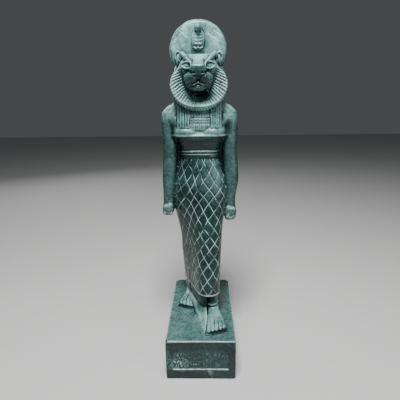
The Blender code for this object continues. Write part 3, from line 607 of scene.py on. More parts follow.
# Each line as distance out from the middle, depth, height and radius.
HOOD_EDGE = ((3.0, 7.6, 250.6, 0.3), (4.3, 7.7, 247.0, 0.45), (4.2, 7.9, 242.5, 0.45), (3.3, 8.6, 236.4, 0.4))
FURROW = ((4.6, 9.4, 252.6, 0.5), (7.0, 9.9, 245.0, 0.6), (5.6, 10.1, 234.0, 0.5))
COIL = (
    (-3.6, 8.3, 237.9, 0.6), (-1.8, 7.7, 236.8, 0.65), (0, 7.5, 237.6, 0.6), (1.8, 7.7, 236.8, 0.65),
    (3.6, 8.3, 237.9, 0.6),
)
BARS = 4
LOWEST_BAR = 240.3
BAR_STEP = 2.45
# Half width, height, half height and back of the squared hollow.
HOLLOW = (3.5, 234.0, 1.9, 10.0)
SNAKE_HEAD = (6.9, 252.6)
SNAKE_HEAD_RADII = (3.1, 4.6, 3.3)


def strand(middle, side, stations, blend, action=leave):
    """A rope on one side of a middle, through stations of distance out, depth, height and radius."""
    points = [(middle + out * side, y, z) for out, y, z, _ in stations]
    rope(points, [station[3] for station in stations], blend, action)


where, (x, y, z) = cells_between((-9, 2, 229), (8, 15, 256))
wide, fore = curves(HOOD, z)
hood = (squarish((x - DISK_X) / wide, (y - HOOD_BACK) / (HOOD_BACK - fore), 2.8) - 1) * wide * 0.8
leave(where, meet(meet(hood, z - HOOD[-1][0], 1.5), HOOD[0][0] - z, 0.5), 0.6)
for side in (-1, 1):
    strand(DISK_X, side, HOOD_EDGE, 0.4, cut)
    for k in range(BARS):
        bar_z = LOWEST_BAR + BAR_STEP * k
        strand(DISK_X, side, ((0.8, 7.3, bar_z, 0.6), (2.6, 7.5, bar_z + 0.3, 0.55)), 0.3)
strand(DISK_X, 1, COIL, 0.3)
where, (x, y, z) = cells_between((-7, 2, 229), (6, 12, 239))
half, height, half_height, back = HOLLOW
hollow = np.maximum(np.abs(x - DISK_X) - half, np.abs(z - height) - half_height)
cut(where, np.maximum(hollow, y - back), 0.5)
egg((DISK_X, *SNAKE_HEAD), SNAKE_HEAD_RADII, 0.5)
for side in (-1, 1):
    strand(DISK_X, side, FURROW, 0.6, cut)

# The head. The lioness has a flat brow under the disk, broad bands that run from the nose to the ears, almond
# eyes with raised lids, a wide nose, two whisker pads and a small chin. All is carved from the one block, and
# undercut from the mane down to the throat.
HEAD_X = -0.4
SKULL = (9.0, 218.5)
SKULL_RADII = (15.6, 12.0, 13.0)
BROW_Y = 9.5
BROW_HALF = 11.4
BROW_DEEP = 9.9
# Each cheek's middle, radii and soft join.
CHEEKS = (((9.4, 2.2, 221.6), (6.8, 7.0, 6.6), 2.5), ((8.4, 3.2, 213.6), (4.6, 7.6, 8.2), 3.0))
MUZZLE_HEIGHT = 211.6
THROAT = (1.2, 200.6)
THROAT_RADII = (8.4, 9.6, 4.8)


def outward(place, side):
    """A place on one side of the head, from its distance out, depth and height."""
    return (HEAD_X + place[0] * side, *place[1:])


egg((HEAD_X, *SKULL), SKULL_RADII, 2.0)
where, (x, y, z) = cells_between((-17, -4, 216), (17, 20, 236))
brow = (squarish((x - HEAD_X) / BROW_HALF, (y - BROW_Y) / BROW_DEEP, 3.2) - 1) * BROW_DEEP
leave(where, meet(brow - 0.32 * np.clip(231 - z, 0, 10), np.abs(z - 225) - 6.4, 0.7), 1.2)
for side in (-1, 1):
    for middle, radii, soft in CHEEKS:
        egg(outward(middle, side), radii, soft)
where, (x, y, z) = cells_between((-16, -16, 196), (16, 10, 224))
share = rise(y, 4.0, -9.0)
wide = 11.6 - 3.4 * share ** 2
tall = 9.6 - 3.4 * share
muzzle = (squarish((x - HEAD_X) / wide, (z - MUZZLE_HEIGHT) / tall, 2.4) - 1) * tall
leave(where, meet(muzzle, np.maximum(-8.6 - y, y - 6), 3.0), 1.5)
egg((HEAD_X, *THROAT), THROAT_RADII, 1.5, cut)

# The bridge falls straight from the brow to the nose, narrowest between the eyes, over two whisker pads and
# the chin. Depth and half width of the bridge.
BRIDGE = ((-14.0, 5.4), (-10.0, 4.7), (-6.5, 4.0), (-3.0, 5.4), (1.0, 8.2))
PAD = (5.6, -6.9, 211.9)
PAD_RADII = (6.3, 6.4, 5.1)
CHIN = (-5.4, 205.2)
CHIN_RADII = (6.6, 5.6, 3.2)

where, (x, y, z) = cells_between((-13, -18, 208), (13, 8, 233))
top = 229.6 + 0.62 * np.clip(y + 1.0, -16, 0)
half = np.interp(y, *zip(*BRIDGE)).astype(np.float32)
bridge = meet((z - top) * 0.85, np.abs(x - HEAD_X) - half, 1.8)
leave(where, meet(meet(bridge, 213 - z, 1.0), -13.4 - y, 1.2), 1.6)
for side in (-1, 1):
    egg(outward(PAD, side), PAD_RADII, 0.9)
egg((HEAD_X, *CHIN), CHIN_RADII, 1.0)

# The nose leather is widest over the nostrils, leans back below and narrows to the lip.
# Height against half width, and height against depth.
LEATHER_HALF = ((211.2, 0.9), (213.4, 1.7), (215.8, 4.8), (217.8, 7.0), (219.6, 6.4), (221.8, 5.0))
LEATHER_FRONT = ((211.2, -11.4), (214.5, -12.5), (217.6, -13.7), (220.6, -14.0), (222.0, -13.2))
LEATHER_FOOT = 211.2
LEATHER_TOP = 222.0
NOSTRIL = (3.5, -13.6, 215.8)
NOSTRIL_RADII = (1.5, 1.3, 0.8)
WING = (
    (7.6, -9.6, 219.4, 0.4), (7.0, -10.8, 216.9, 0.5), (4.2, -12.4, 214.6, 0.55), (1.3, -12.9, 211.9, 0.4),
)
CLEFT = ((0, -13.0, 212.6, 0.4), (0, -13.1, 209.4, 0.55))

where, (x, y, z) = cells_between((-11, -17, 209), (10, -4, 225))
wide = np.interp(z, *zip(*LEATHER_HALF)).astype(np.float32)
lean = np.interp(z, *zip(*LEATHER_FRONT)).astype(np.float32)
leather = meet(np.abs(x - HEAD_X) - wide, lean + 0.04 * (x - HEAD_X) ** 2 - y, 1.0)
leave(where, meet(leather, np.maximum(LEATHER_FOOT - z, z - LEATHER_TOP), 0.8), 0.5)
for side in (-1, 1):
    egg(outward(NOSTRIL, side), NOSTRIL_RADII, 0.4, cut)
    strand(HEAD_X, side, WING, 0.5, cut)
strand(HEAD_X, 1, CLEFT, 0.4, cut)

# The mouth is a deep line that rises in the middle, over a thin lower lip that catches the light.
MOUTH = ((0, -12.5, 209.4, 0.45), (3.8, -12.6, 207.7, 0.5), (8.2, -9.8, 207.9, 0.4))
LIP = ((0, -10.8, 208.2, 0.8), (3.6, -10.9, 206.7, 0.7), (7.2, -8.6, 206.9, 0.4))

for side in (-1, 1):
    strand(HEAD_X, side, MOUTH, 0.4, cut)
    strand(HEAD_X, side, LIP, 0.8)

# Brow bands, the hollow beside the bridge, eyes under two lids, and rows of whisker dots on the pads.
BAND = ((5.4, -8.0, 220.6, 0.6), (6.6, -6.0, 224.4, 1.2), (9.6, -3.2, 227.4, 1.8), (13.6, 3.4, 232.0, 2.2))
BRIDGE_HOLLOW = (5.6, -6.6, 226.8)
BRIDGE_HOLLOW_RADII = (1.1, 3.0, 2.2)
EYE = (9.5, -4.2, 222.3)
EYE_TURN = 14
SOCKET_RADII = (4.8, 2.5, 2.9)
EYEBALL_RADII = (4.2, 3.0, 2.6)
LID_HALF = 4.5
LID_ARCH = 2.6
LID_RADII = (0.45, 0.6, 0.72, 0.78, 0.72, 0.6, 0.45)
DOT_ROWS = 3
DOTS = 4
DOT_RADII = (0.5, 0.6, 0.38)

for side in (-1, 1):
    strand(HEAD_X, side, BAND, 2.0)
    egg(outward(BRIDGE_HOLLOW, side), BRIDGE_HOLLOW_RADII, 0.9, cut, tilt=(0, 35 * side, 0))
    eye_x, eye_y, eye_z = outward(EYE, side)
    egg((eye_x, eye_y - 0.9, eye_z), SOCKET_RADII, 0.4, cut, tilt=(0, 0, EYE_TURN * side))
    egg((eye_x, eye_y + 2.2, eye_z), EYEBALL_RADII, 0.2, tilt=(0, 0, EYE_TURN * side))
    for upward in (1, -1):
        lid = []
        for k in range(len(LID_RADII)):
            share = -1 + k / 3
            arch = 1 - share * share
            lid_z = eye_z + upward * LID_ARCH * arch ** 0.8 + 0.4 * share * side
            lid.append((eye_x + LID_HALF * share, eye_y - 1.1 * arch + 1.3 * share * side + 0.1, lid_z))
        rope(lid, LID_RADII, 0.25)
    for row in range(DOT_ROWS):
        for k in range(DOTS):
            over_x, over_z = 0.6 + 1.45 * k - 2.2, 1.6 - 1.6 * row - 0.2 * k
            bulge = math.sqrt(1 - (over_x / PAD_RADII[0]) ** 2 - (over_z / PAD_RADII[2]) ** 2)
            depth = PAD[1] - PAD_RADII[1] * bulge
            egg(outward((PAD[0] + over_x, depth - 0.3, PAD[2] + over_z), side), DOT_RADII, 0.2, cut)

# The ears. Low rounded shells that face forward, hollow above a raised inner fold, cut from the same block.
# Middle x and z, half width and half height of each.
EARS = {-1: (-17.3, 229.8, 3.6, 6.2), 1: (17.0, 229.2, 3.9, 6.5)}
EAR_WALL = 1.1
FOLD_RADII = (1.5, 2.2, 4.2)

for side, (ear_x, ear_z, wide, tall) in EARS.items():
    egg((ear_x, 8.4, ear_z), (wide, 4.8, tall), 0.8, tilt=(0, 6 * side, 0))
    shell = (wide - EAR_WALL, 2.0, tall - 2.0)
    egg((ear_x + 0.1 * side, 3.9, ear_z + 1.2), shell, 0.5, cut, tilt=(0, 6 * side, 0))
    egg((ear_x + 0.2 * side, 5.6, ear_z - 1.6), FOLD_RADII, 0.5, tilt=(0, -8 * side, 0))

# The carved surface. The skin of the stone, laid where the cells change from stone to air and rubbed smooth.
# The dress's slanting lines are cut into it with a pointed tool, and it is thinned where the stone is flat.
TRIANGLES = 192000
RUBBINGS = 2
PULLS = (0.55, -0.57)


def skin_of(field):
    """The points and four-cornered faces that part the stone from the air."""
    solid = field < 0
    size = np.array(field.shape) - 1
    corners = [(a, b, c) for a in (0, 1) for b in (0, 1) for c in (0, 1)]
    count = np.zeros(size, np.int8)
    for a, b, c in corners:
        count += solid[a:size[0] + a, b:size[1] + b, c:size[2] + c]
    cells = np.argwhere((count > 0) & (count < 8))
    index = np.full(size, -1, np.int32)
    index[tuple(cells.T)] = np.arange(len(cells))
    total, crossings = np.zeros((len(cells), 3)), np.zeros(len(cells))
    for start in corners:
        for axis in range(3):
            if start[axis]:
                continue
            first = field[tuple((cells + start).T)]
            step = np.eye(3, dtype=int)[axis]
            second = field[tuple((cells + start + step).T)]
            crossed = (first < 0) != (second < 0)
            share = np.where(crossed, first / np.where(crossed, first - second, 1), 0)
            place = np.array(start) + share[:, None] * step
            total += np.where(crossed[:, None], place, 0)
            crossings += crossed
    points = cells + total / crossings[:, None]
    faces = []
    for axis in range(3):
        ahead = [slice(1, -1)] * 3
        behind = [slice(1, -1)] * 3
        ahead[axis], behind[axis] = slice(1, None), slice(None, -1)
        here, there = solid[tuple(behind)], solid[tuple(ahead)]
        for entering in (True, False):
            found = np.argwhere((~here & there) if entering else (here & ~there))
            node = found + 1
            node[:, axis] -= 1
            one, two = (axis + 1) % 3, (axis + 2) % 3
            ring = []
            for back_one, back_two in ((1, 1), (0, 1), (0, 0), (1, 0)):
                cell = node.copy()
                cell[:, one] -= back_one
                cell[:, two] -= back_two
                ring.append(index[tuple(cell.T)])
            ring = np.stack(ring, axis=1)
            faces.append(ring[:, ::-1] if entering else ring)
    return points, np.concatenate(faces)


points, faces = skin_of(block)
points = low_corner + CELL * points


def smoothed(points, faces, rounds):
    """Even out the points against their neighbours, with a pull back each round so that nothing shrinks."""
    ends = np.concatenate([np.stack([faces[:, k], faces[:, (k + 1) % 4]], axis=1) for k in range(4)])
    degree = sum(np.bincount(ends[:, k], minlength=len(points)) for k in (0, 1))
    for pull in PULLS * rounds:
        total = np.zeros_like(points)
        for k in range(3):
            total[:, k] = np.bincount(ends[:, 0], points[ends[:, 1], k], len(points))
            total[:, k] += np.bincount(ends[:, 1], points[ends[:, 0], k], len(points))
        points = points + pull * (total / degree[:, None] - points)
    return points


points = smoothed(points, faces, RUBBINGS)


def body_table():
    """What share of the way round the body each bearing lies at each height, from the middle of the back."""
    levels = np.linspace(HEM, BELT, 60)
    bearings = np.linspace(0, 2 * math.pi, 361)
    turns = np.linspace(0, 2 * math.pi, 721) + math.pi / 2
    facing = np.stack([np.cos(turns), np.sin(turns)], axis=1)
    shares = []
    for level in levels:
        ax, ay, ar, bx, by, br = (float(curve[0]) for curve in curves(BODY, np.array([level])))
        first_farther = (facing @ (ax, ay) + ar > facing @ (bx, by) + br)[:, None]
        rim = np.where(first_farther, (ax, ay), (bx, by)) + facing * np.where(first_farther, ar, br)
        walked = np.concatenate([[0], np.cumsum(np.linalg.norm(np.diff(rim, axis=0), axis=1))])
        bearing = np.arctan2(rim[:, 0] - (ax + bx) / 2, -(rim[:, 1] - (ay + by) / 2)) + math.pi
        bearing = np.unwrap(bearing)
        order = np.argsort(bearing)
        walked = (walked / walked[-1])[order]
        shares.append(np.interp(bearings, bearing[order], walked, period=2 * math.pi))
    return levels, bearings, np.array(shares)


LATTICE_COLUMNS = 14
LATTICE_ROWS = 9
LATTICE_TOP = 145.4
LATTICE_FOOT = HEM + 0.4
LINE_WAVER = 0.13
LINE_SHAKE = 0.035
LINE_SPACING = 8.0
GROOVE_DEPTH = 0.24
GROOVE_HALF = 0.45


def lattice_at(points):
    """Where each point lies on the two families of slanting lines in the dress. Whole numbers are lines."""
    levels, bearings, shares = body_table()
    level = np.clip(points[:, 2], HEM, BELT)
    ax, ay, ar, bx, by, br = curves(BODY, level)
    bearing = np.arctan2(points[:, 0] - (ax + bx) / 2, -(points[:, 1] - (ay + by) / 2)) + math.pi
    row = (level - levels[0]) / (levels[1] - levels[0])
    low = np.clip(row.astype(int), 0, len(levels) - 2)
    column = bearing / (bearings[1] - bearings[0])
    near = np.clip(column.astype(int), 0, len(bearings) - 2)
    up, over = row - low, column - near
    below = (1 - over) * shares[low, near] + over * shares[low, near + 1]
    above = (1 - over) * shares[low + 1, near] + over * shares[low + 1, near + 1]
    share = (1 - up) * below + up * above
    x, y, z = points.T
    column = share * LATTICE_COLUMNS
    row = (z - LATTICE_FOOT) / (BELT - LATTICE_FOOT) * LATTICE_ROWS
    first = column + row + LINE_WAVER * waver(x, y, z, 34, 21) + LINE_SHAKE * waver(x, y, z, 12, 22)
    second = column - row + LINE_WAVER * waver(x, y, z, 31, 23) + LINE_SHAKE * waver(x, y, z, 11, 24)
    return first, second


def on_the_dress(points):
    """How fully the lattice is cut at each point: all of it on the dress, none on pillar and arms."""
    x, y, z = points.T
    gap = np.abs(wrapping(*points.T.astype(np.float32)))
    covered = rise(z, HEM + 0.8, HEM + 1.6) * rise(z, LATTICE_TOP, LATTICE_TOP - 0.8)
    clear = np.where((y > 24) & (np.abs(x) < 14.5), 0, 1)
    return covered * clear * rise(gap, 1.1, 0.6)


first, second = lattice_at(points)
near_line = np.minimum(np.abs(first - np.round(first)), np.abs(second - np.round(second))) * LINE_SPACING
edges = points[faces[:, 2]] - points[faces[:, 0]], points[faces[:, 3]] - points[faces[:, 1]]
face_normals = np.cross(*edges)
normals = np.zeros_like(points)
for k in range(4):
    for axis in range(3):
        normals[:, axis] += np.bincount(faces[:, k], face_normals[:, axis], len(points))
normals /= np.linalg.norm(normals, axis=1)[:, None] + 1e-9
groove = GROOVE_DEPTH * np.exp(-(near_line / GROOVE_HALF) ** 2) * on_the_dress(points)
points -= normals * groove[:, None]
points[:, 2] = np.maximum(points[:, 2], -PLINTH_HEIGHT)


def placed(name, data):
    """An object made from this mesh, lamp or lens, and put into the scene."""
    made = bpy.data.objects.new(name, data)
    bpy.context.scene.collection.objects.link(made)
    return made


mesh = bpy.data.meshes.new("sekhmet_statue_carved")
mesh.from_pydata((points / 1000 + (0, 0, PLINTH_HEIGHT / 1000)).astype(np.float32), [], faces)
statue = placed("sekhmet_statue_carved", mesh)
thinning = statue.modifiers.new("thinning", "DECIMATE")
thinning.ratio = min(1.0, TRIANGLES / (2 * len(faces)))
bpy.context.view_layer.update()
thinned = bpy.data.meshes.new_from_object(statue.evaluated_get(bpy.context.evaluated_depsgraph_get()))
statue.modifiers.clear()
statue.data = thinned
bpy.data.meshes.remove(mesh)
thinned.name = "sekhmet_statue_carved"
thinned.shade_smooth()

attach(statue, "root")
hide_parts("sekhmet_statue")

# The stone. Dark green-grey with a waxy polish, mottled, with a pale chalky bloom on disk, face and mane.
# What faces up is painted paler, partly settled bloom and partly painted light from above; what faces forward
# on head, disk and arms is painted paler as light from the front. Arms, shoulders, the ridge between the feet
# and some edges carry painted highlights, and the snout and the hollows painted shade. Cut lines hold white
# dust, a few hollows brown dirt, and the worn edges are paler.
DEEP_GREEN = (0.004, 0.014, 0.013)
BLUE_GREY = (0.008, 0.030, 0.029)
PALE_BLOOM_AND_LIGHT = (0.190, 0.410, 0.380)
PALE_DUST_AND_HIGHLIGHT = (0.520, 0.660, 0.620)
DIRT = (0.140, 0.105, 0.060)
# How pale each part is painted: its bloom wherever it faces, and the painted light that facing up and facing
# forward add.
HEAD_BLOOM_AND_LIGHT = (0.34, 0.26, 0.26)
MANE_BLOOM_AND_LIGHT = (0.75, 0.40, 0.0)
CHEST_BLOOM_AND_LIGHT = (0.44, 0.25, 0.0)
DISK_BLOOM_AND_LIGHT = (0.50, 0.0, 0.38)
SHOULDER_BLOOM_AND_HIGHLIGHT = (0.18, 0.0, 0.38)
LIMB_BLOOM_AND_HIGHLIGHT = (0.04, 0.0, 0.13)
PANEL_BLOOM, EYE_BLOOM, RIDGE_HIGHLIGHT = 0.10, 0.75, 0.85
LIP_HIGHLIGHT, WAIST_HIGHLIGHT, KNUCKLE_WEAR_AND_HIGHLIGHT, SCRATCH_WEAR = 0.8, 0.85, 0.9, 0.8


def measured(mesh):
    """Each point's place in millimetres, the way it faces, and how hollow it is close by and broadly."""
    count = len(mesh.vertices)
    places, facing = np.empty(count * 3, np.float32), np.empty(count * 3, np.float32)
    mesh.vertices.foreach_get("co", places)
    mesh.vertex_normals.foreach_get("vector", facing)
    places = places.reshape(-1, 3) * 1000 - (0, 0, PLINTH_HEIGHT)
    facing = facing.reshape(-1, 3)
    ends = np.empty(len(mesh.edges) * 2, np.int32)
    mesh.edges.foreach_get("vertices", ends)
    ends = ends.reshape(-1, 2)
    ends = np.concatenate([ends, ends[:, ::-1]])
    degree = np.maximum(np.bincount(ends[:, 0], minlength=count), 1)

    def neighbours(values):
        return np.bincount(ends[:, 0], values, count) / degree

    def spread(values, rounds):
        for _ in range(rounds):
            values = 0.5 * values + 0.5 * neighbours(values[ends[:, 1]])
        return values

    gap = np.stack([neighbours(places[ends[:, 1], k]) for k in range(3)], axis=1) - places
    length = neighbours(np.linalg.norm(places[ends[:, 1]] - places[ends[:, 0]], axis=1))
    curve = np.einsum("ij,ij->i", gap, facing) / (length * length + 0.05)
    return places, facing, spread(curve, 1), spread(curve, 6)


def patch(one, other, reach):
    """1 in the middle of a round patch, fading out at its edge."""
    return np.clip(reach - np.hypot(one, other), 0, 1)


def stripe(values, middle, half, reach=1.3):
    """1 along the middle of a stripe, fading out on both sides."""
    return np.clip(reach - np.abs(values - middle) / half, 0, 1)


places, facing, fine, broad = measured(statue.data)
x, y, z = places.T
up, fore = rise(facing[:, 2], 0.15, 0.75), np.clip(-facing[:, 1], 0, 1)


def bloom_and_light_on(part):
    """How pale a part is painted by the way each point faces: bloom, plus painted light on what faces up and
    forward.
    """
    rest, upward, forward = part
    return rest + upward * up + forward * fore


# Where the paint changes: the snout, painted darker as shade, the eyes, the panel with its bruised corner,
# and the soiled ridge.
toward = rise(y, 18, 6)
snout = patch((x - HEAD_X) / 10, (z - 212.5) / 7.5, 1.7) * (y < 6)
eyes = patch((np.abs(x - HEAD_X) - EYE[0]) / 2.625, (z - EYE[2]) / 1.625, 2.2) * (y < 0)
chipped = patch((x + 19) / 9, (z + 22.5) / 5.5, 1.5) * (y < -51)
soiled = patch((x - 13) / 11, (y - 22) / 22, 1.6) * (z < 8) * (z > -3) * (x > 1)
carved_panel = (np.abs(x) < PANEL_HALF) * (z < PANEL_TOP) * (z > PANEL_BOTTOM) * (y < -52.4)
start, crest = (np.interp(y, *zip(*[(row[0], row[k]) for row in RIDGE]), left=99, right=99) for k in (1, 2))

# Head, mane, chest and disk: pale bloom, plus painted light from above and in front where they face up or
# forward.
head = rise(z, 216, 221) * bloom_and_light_on(HEAD_BLOOM_AND_LIGHT) * (0.3 + 0.7 * toward)
mane = rise(z, 183, 187) * rise(z, 222, 218) * bloom_and_light_on(MANE_BLOOM_AND_LIGHT) * toward * (1.3 - 1.1 * rib_swell(x, z))
chest = rise(z, 162, 166) * rise(z, 194, 190) * rise(y, 4, -2) * bloom_and_light_on(CHEST_BLOOM_AND_LIGHT)
# Every face turned up below the neck is painted paler: partly settled dust, partly painted light from above.
ledges = (np.where(z > 1.2, 0.70, 0.30) + 0.25 * rise(z, 176, 182)) * up * (z < 192)
streaks = 0.75 + 0.35 * waver(x * 1.2, y, z * 0.45, 8, 41)
plate = rise(z, 233, 237) * bloom_and_light_on(DISK_BLOOM_AND_LIGHT) * streaks * (y < 16)
# Shoulders and arms are painted paler where they face forward: a painted highlight, with a little bloom.
shoulders = rise(z, 172, 182) * (z < 196) * bloom_and_light_on(SHOULDER_BLOOM_AND_HIGHLIGHT) * (y < 16)
limbs = (np.abs(x) > 20.5) * (z > 86) * (z < 174) * bloom_and_light_on(LIMB_BLOOM_AND_HIGHLIGHT)
# The sloping flank of the ridge between the feet is painted pale: a painted highlight.
flank = rise(x, start, start + 2) * (x < crest + 0.8) * rise(z, 0.3, 1.5) * (z < 10.5) * (y < 14)
# The snout keeps almost none of the pale paint: painted shade on the muzzle.
bloom_and_painted_light = np.clip(np.maximum(head, mane) * (1 - 0.95 * snout), 0, 1)
bloom_and_painted_light = np.clip(np.maximum(bloom_and_painted_light, np.maximum(chest, ledges)), 0, 1)
for amount in (PANEL_BLOOM * carved_panel, EYE_BLOOM * eyes, plate, shoulders, limbs, RIDGE_HIGHLIGHT * flank):
    bloom_and_painted_light = np.maximum(bloom_and_painted_light, amount)

# Where edges are painted paler: wear on the plinth, the panel's strokes, the hem and the scratches, a painted
# highlight along the panel's lower lip, the ridge's crest and the waist and bust mouldings, and wear with a
# painted highlight on the knuckles.
scratched = 0
for (x0, z0), (x1, z1) in SCRATCHES:
    along = np.clip(((x - x0) * (x1 - x0) + (z - z0) * (z1 - z0)) / ((x1 - x0) ** 2 + (z1 - z0) ** 2), 0, 1)
    aside = np.hypot(x - x0 - along * (x1 - x0), z - z0 - along * (z1 - z0))
    scratched = np.maximum(scratched, stripe(aside, 0, 0.5, 1.5) * (y < 14))
# Pale scribbles on the low front of each fist: wear and a painted highlight.
knuckles = 0
for x0, y0, z0, half_x, half_y, _ in HANDS.values():
    low_front = patch((x - x0) / half_x, (z - z0 + 2.2) / 3.2, 1.6) * (y < y0 - half_y + 2.4)
    knuckles = np.maximum(knuckles, low_front * np.clip(1.5 * waver(x, y, z, 2.6, 31), 0, 1))
brink = np.maximum(np.abs(x) - PLINTH_WIDTH / 2, np.abs(y) - PLINTH_DEPTH / 2)
rubbed = np.clip(1.3 + brink, 0, 1) * stripe(z, -0.3, 0.7, 1.4)
# The panel's lower lip is painted pale as a highlight, where it catches the light from above.
lip = stripe(z, PANEL_BOTTOM, 0.6) * (np.abs(x) < PANEL_HALF) * (y < -52.6)
cut_rims = np.clip(-3.5 * fine - 0.15, 0, 0.75) * carved_panel
hem = stripe(z, LATTICE_FOOT, 0.6) * (np.abs(wrapping(x, y, z)) < 1.2)
# The ridge's crest and the waist and bust mouldings get painted highlight lines.
spine = stripe(x, crest, 1.1, 1.5) * np.clip((z - 1) / 6, 0, 0.8) * (z < 11)
waist = np.clip(stripe(z, 151.6, 0.7) + stripe(z, 165.8, 0.6), 0, 1) * (np.abs(x) < 22.5) * (y < 6)
# Pale edges are mostly left off the snout too, keeping its painted shade.
wear_and_highlight = np.clip(-2.2 * fine - 1.6 * broad - 0.55, 0, 1) * (1 - 0.8 * snout)
for amount in (rubbed, LIP_HIGHLIGHT * lip, cut_rims, hem, spine, WAIST_HIGHLIGHT * waist, KNUCKLE_WEAR_AND_HIGHLIGHT * knuckles,
               SCRATCH_WEAR * scratched):
    wear_and_highlight = np.maximum(wear_and_highlight, amount)

# Painted shade: concave places, close by and broadly, lose the pale film in the material below.
hollow = np.clip(2.2 * fine + 3.0 * broad, 0, 1) * (1 - np.maximum(0.7 * eyes, 0.6 * scratched))
first, second = lattice_at(places)
masks = {
    "hollow": hollow, "edge": wear_and_highlight, "line_one": first, "line_two": second, "lattice": on_the_dress(places),
    "bloom_and_painted_light": bloom_and_painted_light, "chipped": chipped, "dirt": soiled,
}
for name, values in masks.items():
    layer = statue.data.attributes.new(name, "FLOAT", "POINT")
    layer.data.foreach_set("value", values.astype(np.float32))

# Shares of a dress line's spacing: where the dust is solid, and where it ends.
LINE_SOLID, LINE_END = 0.013, 0.042
POLISH = (0.16, 0.32)
BLOOM_DULLING = 0.16
SHINE = 0.36
BUMP_STRENGTH = 0.35
BUMP_HEIGHT = 0.0004

stone = bpy.data.materials.new("carved_green_stone")
stone.use_nodes = True
tree = stone.node_tree
shader = tree.nodes["Principled BSDF"]


def node(kind, **settings):
    """A new node of the stone's material, with its settings."""
    made = tree.nodes.new(kind)
    for name, value in settings.items():
        setattr(made, name, value)
    return made


def plug(socket, value):
    """Set a socket by a value, or link another node's output to it."""
    if isinstance(value, bpy.types.NodeSocket):
        tree.links.new(value, socket)
    else:
        socket.default_value = value


def sums(operation, one, other, clamp=False):
    """One step of reckoning with two values."""
    made = node("ShaderNodeMath", operation=operation, use_clamp=clamp)
    plug(made.inputs[0], one)
    plug(made.inputs[1], other)
    return made.outputs[0]


def ramp(value, low, high, start=0.0, end=1.0):
    """Goes smoothly from start to end while the value goes from low to high."""
    made = node("ShaderNodeMapRange", interpolation_type="SMOOTHSTEP")
    for socket, number in zip(made.inputs, (value, low, high, start, end)):
        plug(socket, number)
    return made.outputs[0]


def blended(share, one, other):
    """One colour giving way to the other, by a share."""
    made = node("ShaderNodeMix", data_type="RGBA")
    plug(made.inputs[0], share)
    for socket, colour in ((made.inputs[6], one), (made.inputs[7], other)):
        plug(socket, colour if isinstance(colour, bpy.types.NodeSocket) else (*colour, 1.0))
    return made.outputs[2]


def mask(name):
    """One of the masks measured above."""
    return node("ShaderNodeAttribute", attribute_name=name).outputs["Fac"]


def speckle(scale, detail, roughness=0.6):
    """Cloudy noise through the stone, finer the larger the scale."""
    made = node("ShaderNodeTexNoise")
    plug(made.inputs["Vector"], coordinates)
    plug(made.inputs["Scale"], scale)
    plug(made.inputs["Detail"], detail)
    plug(made.inputs["Roughness"], roughness)
    return made.outputs["Fac"]


coordinates = node("ShaderNodeTexCoord").outputs["Object"]
clouds, grain, specks, drift = speckle(45, 4), speckle(420, 6, 0.7), speckle(1500, 3), speckle(110, 5)
thin_lines = []
for name in ("line_one", "line_two"):
    share = sums("PINGPONG", mask(name), 0.5)
    thin_lines.append(ramp(share, LINE_SOLID, LINE_END, 1.0, 0.0))
patchy = sums("MULTIPLY", ramp(drift, 0.38, 0.55, 0.10, 1.0), ramp(clouds, 0.36, 0.56, 0.45, 1.0))
lines = sums("MULTIPLY", sums("MULTIPLY", sums("MAXIMUM", *thin_lines), mask("lattice")), patchy)

ground = blended(ramp(clouds, 0.35, 0.65), DEEP_GREEN, BLUE_GREY)
ground = blended(sums("MULTIPLY", ramp(grain, 0.50, 0.70), 0.06), ground, PALE_BLOOM_AND_LIGHT)
mottle = sums("ADD", sums("MULTIPLY", drift, 0.5), sums("MULTIPLY", grain, 0.5))
# The pale film carries bloom and painted light alike.
pale_film_and_light = sums("MULTIPLY", mask("bloom_and_painted_light"), ramp(mottle, 0.36, 0.64, 0.45, 1.22), clamp=True)
pale_film_and_light = sums("MAXIMUM", pale_film_and_light, sums("MULTIPLY", mask("chipped"), ramp(grain, 0.40, 0.60, 0.1, 0.62)))
# Painted shade in hollows and creases: the pale film is taken away there.
pale_film_and_light = sums("SUBTRACT", pale_film_and_light, sums("MULTIPLY", mask("hollow"), 0.9), clamp=True)
colour = blended(pale_film_and_light, ground, PALE_BLOOM_AND_LIGHT)
dirty = sums("MULTIPLY", mask("dirt"), ramp(grain, 0.42, 0.62))
colour = blended(sums("MULTIPLY", dirty, 0.8), colour, DIRT)
# Paler edges, part wear and part painted highlight, then the white dust in the dress lines.
colour = blended(sums("MULTIPLY", mask("edge"), ramp(grain, 0.35, 0.6, 0.30, 0.70)), colour, PALE_DUST_AND_HIGHLIGHT)
colour = blended(sums("MULTIPLY", lines, 0.9), colour, PALE_DUST_AND_HIGHLIGHT)
plug(shader.inputs["Base Color"], colour)
rough = ramp(grain, 0.3, 0.7, *POLISH)
plug(shader.inputs["Roughness"], sums("ADD", rough, sums("MULTIPLY", pale_film_and_light, BLOOM_DULLING)))
bump = node("ShaderNodeBump")
plug(bump.inputs["Strength"], BUMP_STRENGTH)
plug(bump.inputs["Distance"], BUMP_HEIGHT)
relief = sums("ADD", grain, sums("MULTIPLY", specks, 0.4))
plug(bump.inputs["Height"], sums("ADD", relief, sums("MULTIPLY", drift, 3.0)))
plug(shader.inputs["Normal"], bump.outputs["Normal"])
shader.inputs["Specular IOR Level"].default_value = SHINE
statue.data.materials.clear()
statue.data.materials.append(stone)

# The floor. One pale matt sheet, level and plain and far wider than the plinth, which stands on it by its own
# weight.
FLOOR_HALF = 3
FLOOR_COLOUR = (0.54, 0.54, 0.53, 1)
FLOOR_ROUGHNESS = 0.8

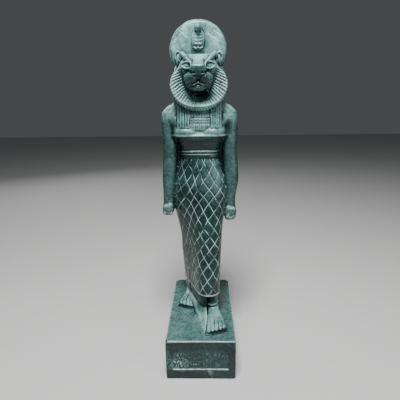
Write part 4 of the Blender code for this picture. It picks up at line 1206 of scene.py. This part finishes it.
floor_mesh = bpy.data.meshes.new("floor")
around = ((-1, -1), (1, -1), (1, 1), (-1, 1))
floor_mesh.from_pydata([(FLOOR_HALF * a, FLOOR_HALF * b, 0) for a, b in around], [], [(0, 1, 2, 3)])
floor = placed("floor", floor_mesh)
pale = bpy.data.materials.new("pale_floor")
pale.use_nodes = True
pale.node_tree.nodes["Principled BSDF"].inputs["Base Color"].default_value = FLOOR_COLOUR
pale.node_tree.nodes["Principled BSDF"].inputs["Roughness"].default_value = FLOOR_ROUGHNESS
floor_mesh.materials.append(pale)

# The light. A soft box above the head and well in front of it, a weak fill from the figure's left, a weaker
# one from behind its right, and a dim room around.
# Place, target, size in metres and power of each lamp.
LAMPS = {
    "top_light": ((-0.02, -0.24, 0.70), (0, 0, 0.20), 0.20, 9.0),
    "front_fill": ((0.7, -0.55, 0.42), (0, 0, 0.15), 0.5, 2.4),
    "back_fill": ((-0.45, 0.75, 0.55), (0, 0, 0.15), 0.5, 1.8),
}
ROOM_COLOUR = (0.55, 0.60, 0.62, 1)
ROOM_STRENGTH = 0.12

for name, (place, target, size, power) in LAMPS.items():
    lamp = bpy.data.lights.new(name, "AREA")
    lamp.size, lamp.energy = size, power
    holder = placed(name, lamp)
    holder.location = place
    holder.rotation_euler = (Vector(target) - Vector(place)).to_track_quat("-Z", "Y").to_euler()
room = bpy.data.worlds.new("dim_room")
room.use_nodes = True
room.node_tree.nodes["Background"].inputs["Color"].default_value = ROOM_COLOUR
room.node_tree.nodes["Background"].inputs["Strength"].default_value = ROOM_STRENGTH
bpy.context.scene.world = room

# The camera. It stands close by, a little above the head, and looks down along the figure, with a very
# slight turn and roll.
FOCAL_SHARE = 0.84
SENSOR = 36
PITCH, YAW, ROLL = math.radians(14.71), math.radians(1.21), math.radians(-0.65)
STAND = Vector((0.0060, -0.2954, 0.2232))

ahead = Vector((-math.sin(YAW) * math.cos(PITCH), math.cos(YAW) * math.cos(PITCH), -math.sin(PITCH)))
level = Vector((math.cos(YAW), math.sin(YAW), 0))
upright = level.cross(ahead)
right = math.cos(ROLL) * level + math.sin(ROLL) * upright
over = -math.sin(ROLL) * level + math.cos(ROLL) * upright
lens = bpy.data.cameras.new("camera")
lens.sensor_width = SENSOR
lens.lens = SENSOR * FOCAL_SHARE
lens.clip_start = 0.01
camera = placed("camera", lens)
camera.matrix_world = Matrix([(right[k], over[k], -ahead[k], STAND[k]) for k in range(3)] + [(0, 0, 0, 1)])
bpy.context.scene.camera = camera
